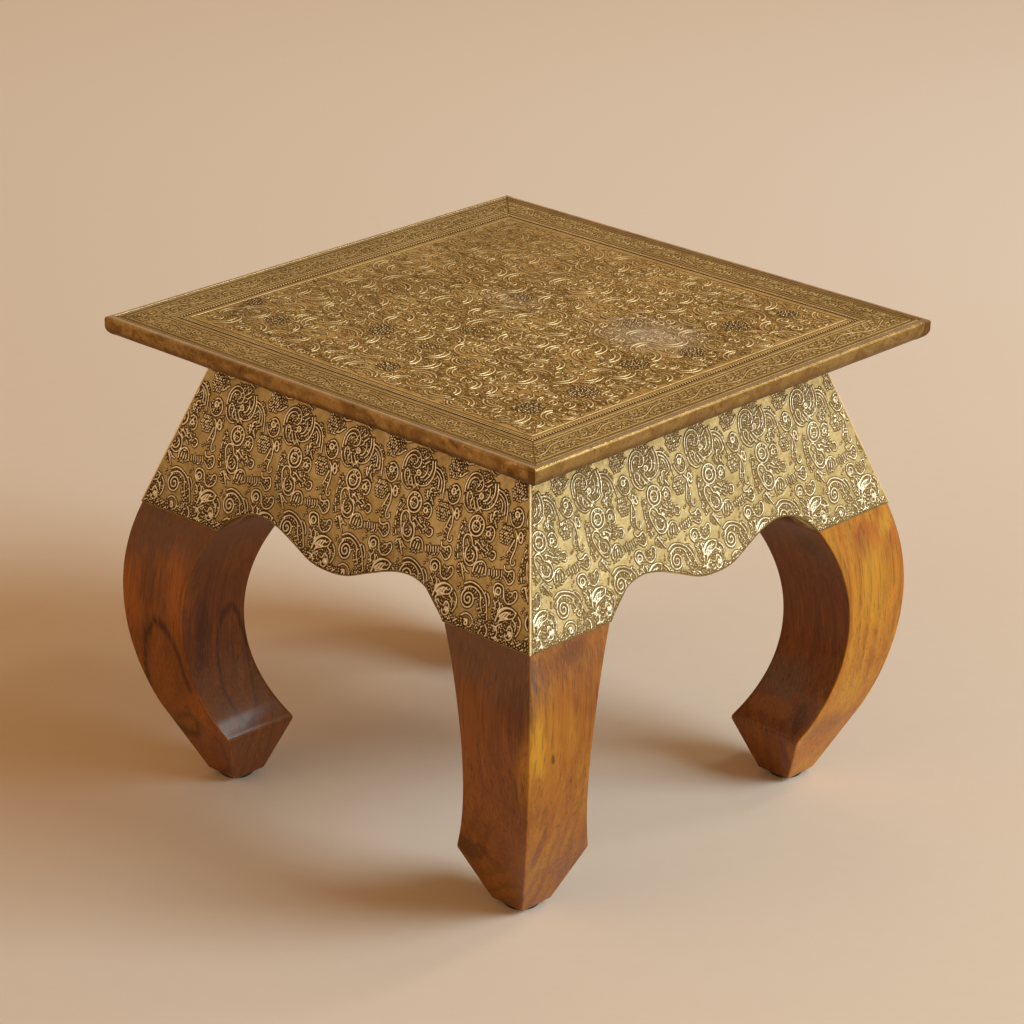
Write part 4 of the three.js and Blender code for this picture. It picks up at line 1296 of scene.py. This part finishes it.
legLook = {
    "rows": 190, "fineRows": 1500, "arris": 1.1, "arcSteps": 5, "tipSpan": 3.5, "soleRound": 1.6,
    # rows near the sole, and how far the section draws in at each, as a share of its rounding
    "footRows": [0, 0.18, 0.5, 0.95, 1.6, 2.6], "footInset": [1.0, 0.5, 0.22, 0.07, 0.0, 0.0],
    # points along each face between two arrises, and the wear over an arris
    "faceShares": [0.04, 0.14, 0.3, 0.5, 0.7, 0.86, 0.96], "arrisWear": [0.0, 0.5, 1.0, 1.0, 0.5, 0.0],
    # how pale each leg's outer faces are, partly sapwood and partly painted light, most on the right faces:
    # its first face, its second face
    "paleFaces": [(0.12, 0.62), (0.95, 0.3), (0.5, 0.2), (0.3, 0.1)],
}


def legHalves(height):
    # outer and inner half widths of a leg at each height
    toeOuter = table["bellyHalf"] - bow(table["bellyRadius"], table["toeHeight"] - table["bellyHeight"])
    tipHalf = table["hollowHalf"] - bow(table["hollowRadius"], table["tipHeight"] - table["hollowHeight"])
    toeShare = (height - soleHeight) / (table["toeHeight"] - soleHeight)
    tipShare = (height - soleHeight) / (table["tipHeight"] - soleHeight)
    outer = np.select(
        [height < table["toeHeight"], height < table["bellyHeight"], height < table["brassEdge"]],
        [table["soleOuter"] + toeShare * (toeOuter - table["soleOuter"]),
         table["bellyHalf"] - bow(table["bellyRadius"], height - table["bellyHeight"]),
         table["bellyHalf"] - bow(table["hipRadius"], height - table["bellyHeight"])],
        hipHalf - lean * (height - table["brassEdge"]))
    inner = np.select(
        [height < table["tipHeight"], height < table["brassEdge"]],
        [table["soleInner"] + tipShare * (tipHalf - table["soleInner"]),
         table["hollowHalf"] - bow(table["hollowRadius"], height - table["hollowHeight"])], postHalf)
    return outer, inner


def legSection(inner, outer):
    # four rounded corners in turn (inner, right of it, the ridge, left of it), with points along the faces
    look = legLook
    steps, r = look["arcSteps"], look["arris"]
    arcs = []
    for x, y, start in ((outer - r, -outer + r, -90), (outer - r, -inner - r, 0),
                        (inner + r, -inner - r, 90), (inner + r, -outer + r, 180)):
        angles = [radians(start + 90 * step / steps) for step in range(steps + 1)]
        arcs.append([(x + r * cos(angle), y + r * sin(angle)) for angle in angles])
    points, wear = [], []
    for arc, following in zip(arcs, arcs[1:] + arcs[:1]):
        (x0, y0), (x1, y1) = arc[-1], following[0]
        points += arc + [(x0 + (x1 - x0) * share, y0 + (y1 - y0) * share) for share in look["faceShares"]]
        wear += look["arrisWear"] + [0.0] * len(look["faceShares"])
    return points, wear


def legRows():
    # heights of the sections with the half widths there, the tip of the inner toe rounded
    look = legLook
    fine = np.linspace(soleHeight, frameTop, look["fineRows"])
    outer, inner = legHalves(fine)
    span = int(look["tipSpan"] / (fine[1] - fine[0]))
    kernel = np.hanning(2 * span + 3)[1:-1]
    pad = len(kernel) // 2
    low = inner[0] + (inner[1] - inner[0]) * np.arange(-pad, 0)
    high = inner[-1] + (inner[-1] - inner[-2]) * np.arange(1, pad + 1)
    inner = np.convolve(np.concatenate([low, inner, high]), kernel / kernel.sum(), "valid")
    rows = np.concatenate([soleHeight + np.array(look["footRows"]),
                           np.linspace(soleHeight + 4, frameTop, look["rows"])])
    return rows, np.interp(rows, fine, outer), np.interp(rows, fine, inner)


def makeLegs(woods):
    look = legLook
    rows, outer, inner = legRows()
    inset = np.zeros(len(rows))
    inset[:len(look["footInset"])] = np.array(look["footInset"]) * look["soleRound"]
    sections = [legSection(a + cut, b - cut) for a, b, cut in zip(inner, outer, inset)]
    places = np.array([[(x, y, z) for x, y in points] for (points, _), z in zip(sections, rows)])
    edge = np.append([wear for _, wear in sections], [0, 0])
    count = places.shape[1]
    index = np.arange(len(rows) * count).reshape(len(rows), count)
    ahead = np.roll(index, -1, axis=1)
    quads = np.stack([index[:-1], ahead[:-1], ahead[1:], index[1:]], -1).reshape(-1, 4)
    flat = places.reshape(-1, 3)
    bottom = np.stack([ahead[0], index[0], np.full(count, len(flat))], -1)
    top = np.stack([index[-1], ahead[-1], np.full(count, len(flat) + 1)], -1)
    for end in (0, -1):
        centre = (inner[end] + outer[end]) / 2
        flat = np.vstack([flat, [centre, -centre, rows[end]]])
    u, v = np.meshgrid(np.linspace(0.01, 0.97, count), np.linspace(0.01, 0.95, len(rows)))
    islands = np.vstack([np.column_stack([u.ravel(), v.ravel()]), [[0.5, 0.0], [0.5, 0.99]]])
    flats = np.arange(len(quads) + 2 * count) >= len(quads)
    outerHere = np.repeat(outer, count)
    # both outer faces take their tone from just inside the arris
    onFirst, onSecond = (limited((out.ravel() - outerHere + 1.2) / 0.8)
                         for out in (-places[..., 1], places[..., 0]))
    for corner, name in enumerate(corners):
        first, second = look["paleFaces"][corner]
        pale = np.append(np.maximum(first * onFirst, second * onSecond), [0, 0])
        buildPiece(f"bowed_leg_{name}", quarterTurn(flat, corner), quads, np.vstack([bottom, top]),
                   woods[corner], [f"leg_{name}"], {"edge": edge, "pale": pale}, flats, islands)
    print("legs shaped")


# Camera, stage and lights

# fitted to the picture: the focal length is in its pixels, the place in metres, the angles in radians
cameraLook = {"focal": 3664.3512, "place": (1.8078531, -1.9594040, 1.3159469), "yaw": 0.7463990,
              "pitch": 0.3879631, "roll": 0.0166504, "pictureWidth": 1024, "sensor": 36.0, "farthest": 60}


def makeCamera():
    look = cameraLook
    yaw, pitch, roll = look["yaw"], look["pitch"], look["roll"]
    back = Vector((sin(yaw) * cos(pitch), -cos(yaw) * cos(pitch), sin(pitch)))
    right = Vector((cos(yaw), sin(yaw), 0))
    up = back.cross(right)
    c, s = cos(roll), sin(roll)
    axes = Matrix((c * right + s * up, -s * right + c * up, back)).transposed()
    data = bpy.data.cameras.new("photo_camera")
    data.sensor_width = look["sensor"]
    data.lens = look["focal"] * look["sensor"] / look["pictureWidth"]
    data.clip_end = look["farthest"]
    camera = bpy.data.objects.new("photo_camera", data)
    camera.matrix_world = Matrix.Translation(look["place"]) @ axes.to_4x4()
    bpy.context.scene.collection.objects.link(camera)
    bpy.context.scene.camera = camera
    print("camera set")


stageLook = {"floor": (0.85, 0.74, 0.61), "floorGrain": (0.81, 0.70, 0.575), "farFloor": (0.97, 0.92, 0.83),
             "backdrop": (0.56, 0.385, 0.245), "rings": (1.5, 4.0, 9.0), "points": 96, "level": -0.00002,
             "farWay": (-0.7, 0.72, 0.0), "rough": 0.9}


def makeStage():
    # a round floor, paler towards the far side as painted light
    look = stageLook
    count = look["points"]
    turns = [2 * pi * k / count for k in range(count)]
    places = [(0, 0, look["level"])] + [(radius * cos(turn), radius * sin(turn), look["level"])
                                        for radius in look["rings"] for turn in turns]
    faces = [(0, 1 + k, 1 + (k + 1) % count) for k in range(count)]
    for ring in range(1, 1 + count * (len(look["rings"]) - 1), count):
        faces += [(ring + k, ring + count + k, ring + count + (k + 1) % count, ring + (k + 1) % count)
                  for k in range(count)]
    mesh = bpy.data.meshes.new("studio_floor")
    mesh.from_pydata(places, [], faces)
    floor = bpy.data.objects.new("studio_floor", mesh)
    material, coords = newMaterial("studio_paper")
    grain = noise(coords, 60.0, 4.0, 0.6)
    colour = blend(spread(grain, 0.3, 0.7, 0.0, 0.25), look["floor"], look["floorGrain"])
    away = node("ShaderNodeVectorMath", {0: coords, 1: look["farWay"]}, out="Value", operation="DOT_PRODUCT")
    colour = blend(spread(away, 0.1, 2.2), colour, look["farFloor"])
    closeMaterial(material, {"Base Color": colour, "Roughness": look["rough"], "Specular IOR Level": 0.1})
    mesh.materials.append(material)
    bpy.context.scene.collection.objects.link(floor)


lightLook = {
    # name: way to it from the table, distance, width, watts, colour
    "lamps": {
        "key": ((0.88, 0.42, 0.62), 5.4, 3.0, 242.0, (0.75, 0.92, 1.0)),
        "side": ((0.74, 0.68, 0.16), 4.0, 2.4, 8.5, (1.0, 0.92, 0.76)),
        "top": ((0.30, 0.60, 0.74), 3.0, 0.36, 7.0, (1.0, 0.88, 0.68)),
        "back": ((-0.62, 0.66, 0.42), 4.0, 1.6, 3.0, (1.0, 0.84, 0.6)),
        "fill": ((-0.35, -1.0, 0.42), 3.6, 1.8, 11.0, (1.0, 0.83, 0.6)),
    },
    "aim": (0, 0, 0.2), "worldStrength": 0.38, "worldColour": (1.0, 0.52, 0.20),
}


def makeLights():
    look = lightLook
    for name, (way, distance, width, watts, colour) in look["lamps"].items():
        data = bpy.data.lights.new(f"{name}_light", "AREA")
        data.shape, data.size, data.energy, data.color = "SQUARE", width, watts, colour
        lamp = bpy.data.objects.new(f"{name}_light", data)
        toward = Vector(way).normalized()
        lamp.location = toward * distance + Vector(look["aim"])
        lamp.rotation_euler = toward.to_track_quat("Z", "Y").to_euler()
        bpy.context.scene.collection.objects.link(lamp)
    world = bpy.data.worlds.new("studio")
    bpy.context.scene.world = world
    world.use_nodes = True
    bench["tree"] = world.node_tree
    bench["tree"].nodes.clear()
    # the camera, gloss and glass see the plain backdrop, and the table gets the soft light
    seen = node("ShaderNodeBackground", {"Color": (*stageLook["backdrop"], 1), "Strength": 1.0})
    soft = node("ShaderNodeBackground", {"Color": (*look["worldColour"], 1),
                                         "Strength": look["worldStrength"]})
    ray = node("ShaderNodeLightPath")
    either = maths("MINIMUM", ray["Is Camera Ray"] + ray["Is Glossy Ray"] + ray["Is Transmission Ray"], 1.0)
    node("ShaderNodeOutputWorld", {"Surface": node("ShaderNodeMixShader", {0: either, 1: soft, 2: seen})})
    print("lights set")


# Putting it together

makeCamera()
makeStage()
makeLights()

# lit and shaded copies of the apron brass: the front and back sheets get the darker one, with darker grooves
# and hollows, as painted shade; the right and left get the paler one, with lighter grooves, hollows and
# crests, as painted light
shadedSideBrass = {"worn": (0.62, 0.46, 0.22), "groove": (0.058, 0.022, 0.001), "recess": (0.26, 0.155, 0.042),
             "crestShare": 0.98}
litSideBrass = {"goldLight": (0.52, 0.400, 0.192), "goldDeep": (0.385, 0.286, 0.120), "relief": 0.0012,
               "crest": (0.90, 0.82, 0.61), "groove": (0.13, 0.068, 0.012), "recess": (0.44, 0.32, 0.13),
               "worn": (0.80, 0.66, 0.38), "grooveDepth": 0.7, "recessDepth": 0.4, "crestShare": 0.85,
               "crestRough": 0.33}
topBrass = {"goldLight": (0.62, 0.44, 0.155), "goldDeep": (0.50, 0.335, 0.095), "relief": 0.00115,
            "recess": (0.30, 0.175, 0.026), "groove": (0.06, 0.024, 0.001), "grooveWidth": 0.95,
            "recessDepth": 0.45, "crestRough": 0.54, "goldRough": 0.52, "wornRough": 0.12}
rimBrass = {**topBrass, "goldLight": (0.53, 0.375, 0.135), "goldDeep": (0.42, 0.285, 0.083),
            "grooveDepth": 1.15}
# lit and shaded copies of the edge brass: the front and back strips get this browner one as painted shade,
# the right and left keep the golden one as painted light
shadedSideEdge = {"light": (0.42, 0.245, 0.08), "deep": (0.23, 0.12, 0.032), "bloom": (0.60, 0.39, 0.16)}

apronBrasses = [embossedBrass("apron_brass_shaded_side", shadedSideBrass),
                embossedBrass("apron_brass_lit_side", litSideBrass)]
fieldBrass = embossedBrass("field_brass", topBrass)
borderBrass = embossedBrass("border_brass", rimBrass)
# the fold beads are pale all over: partly polish, partly a painted highlight along the ridges
foldBrass = embossedBrass("fold_brass", {"worn": (0.90, 0.74, 0.42)})
edgeBrasses = [plainBrass("edge_brass_shaded_side", shadedSideEdge), plainBrass("edge_brass_lit_side", {})]
# the place and turn of each leg in its own trunk, then its marks
woods = [
    polishedWood("leg_wood_near", (-0.12, 0.27, 0.20), (0.10, 0.08, 0.0), woodMarks["near"]),
    polishedWood("leg_wood_right", (-0.30, -0.13, 0.85), (-0.07, 0.12, 0.0), woodMarks["right"]),
    polishedWood("leg_wood_far", (0.27, -0.11, 0.35), (0.09, -0.06, 0.0), woodMarks["far"]),
    polishedWood("leg_wood_left", (0.13, 0.12, 1.15), (0.05, -0.12, 0.0), woodMarks["left"]),
]
makeLegs(woods)
makeEdgeStrips(edgeBrasses)
makeApronSheets(apronBrasses)
makeRidgeFolds(foldBrass)
makeFieldSheets(fieldBrass)
makeBorderSheets(borderBrass)
makeRope(borderBrass)

plankWood = boardWood("plank_wood", (0.06, 1, 1))
apronWood = boardWood("apron_wood", (1, 1, 1))
steel = simpleMaterial("screw_steel_finish", (0.55, 0.56, 0.57), (0.38, 0.38, 0.39), 0.36, 1.0, 300.0)
plastic = simpleMaterial("glide_plastic_finish", (0.03, 0.024, 0.02), (0.018, 0.015, 0.013), 0.5, 0.0, 160.0)
makeScrews(steel)
dressings = {"top_plank": plankWood, "apron_board": apronWood, "cleat": plankWood, "foot_glide": plastic,
             "glide_nail": steel}
for name, cadNode in nodes.items():
    for start, finish in dressings.items():
        if name.startswith(start):
            for place in cadNode.material_slots:
                place.material = finish
print("hidden parts dressed")

bpy.context.scene.view_settings.view_transform = "Standard"
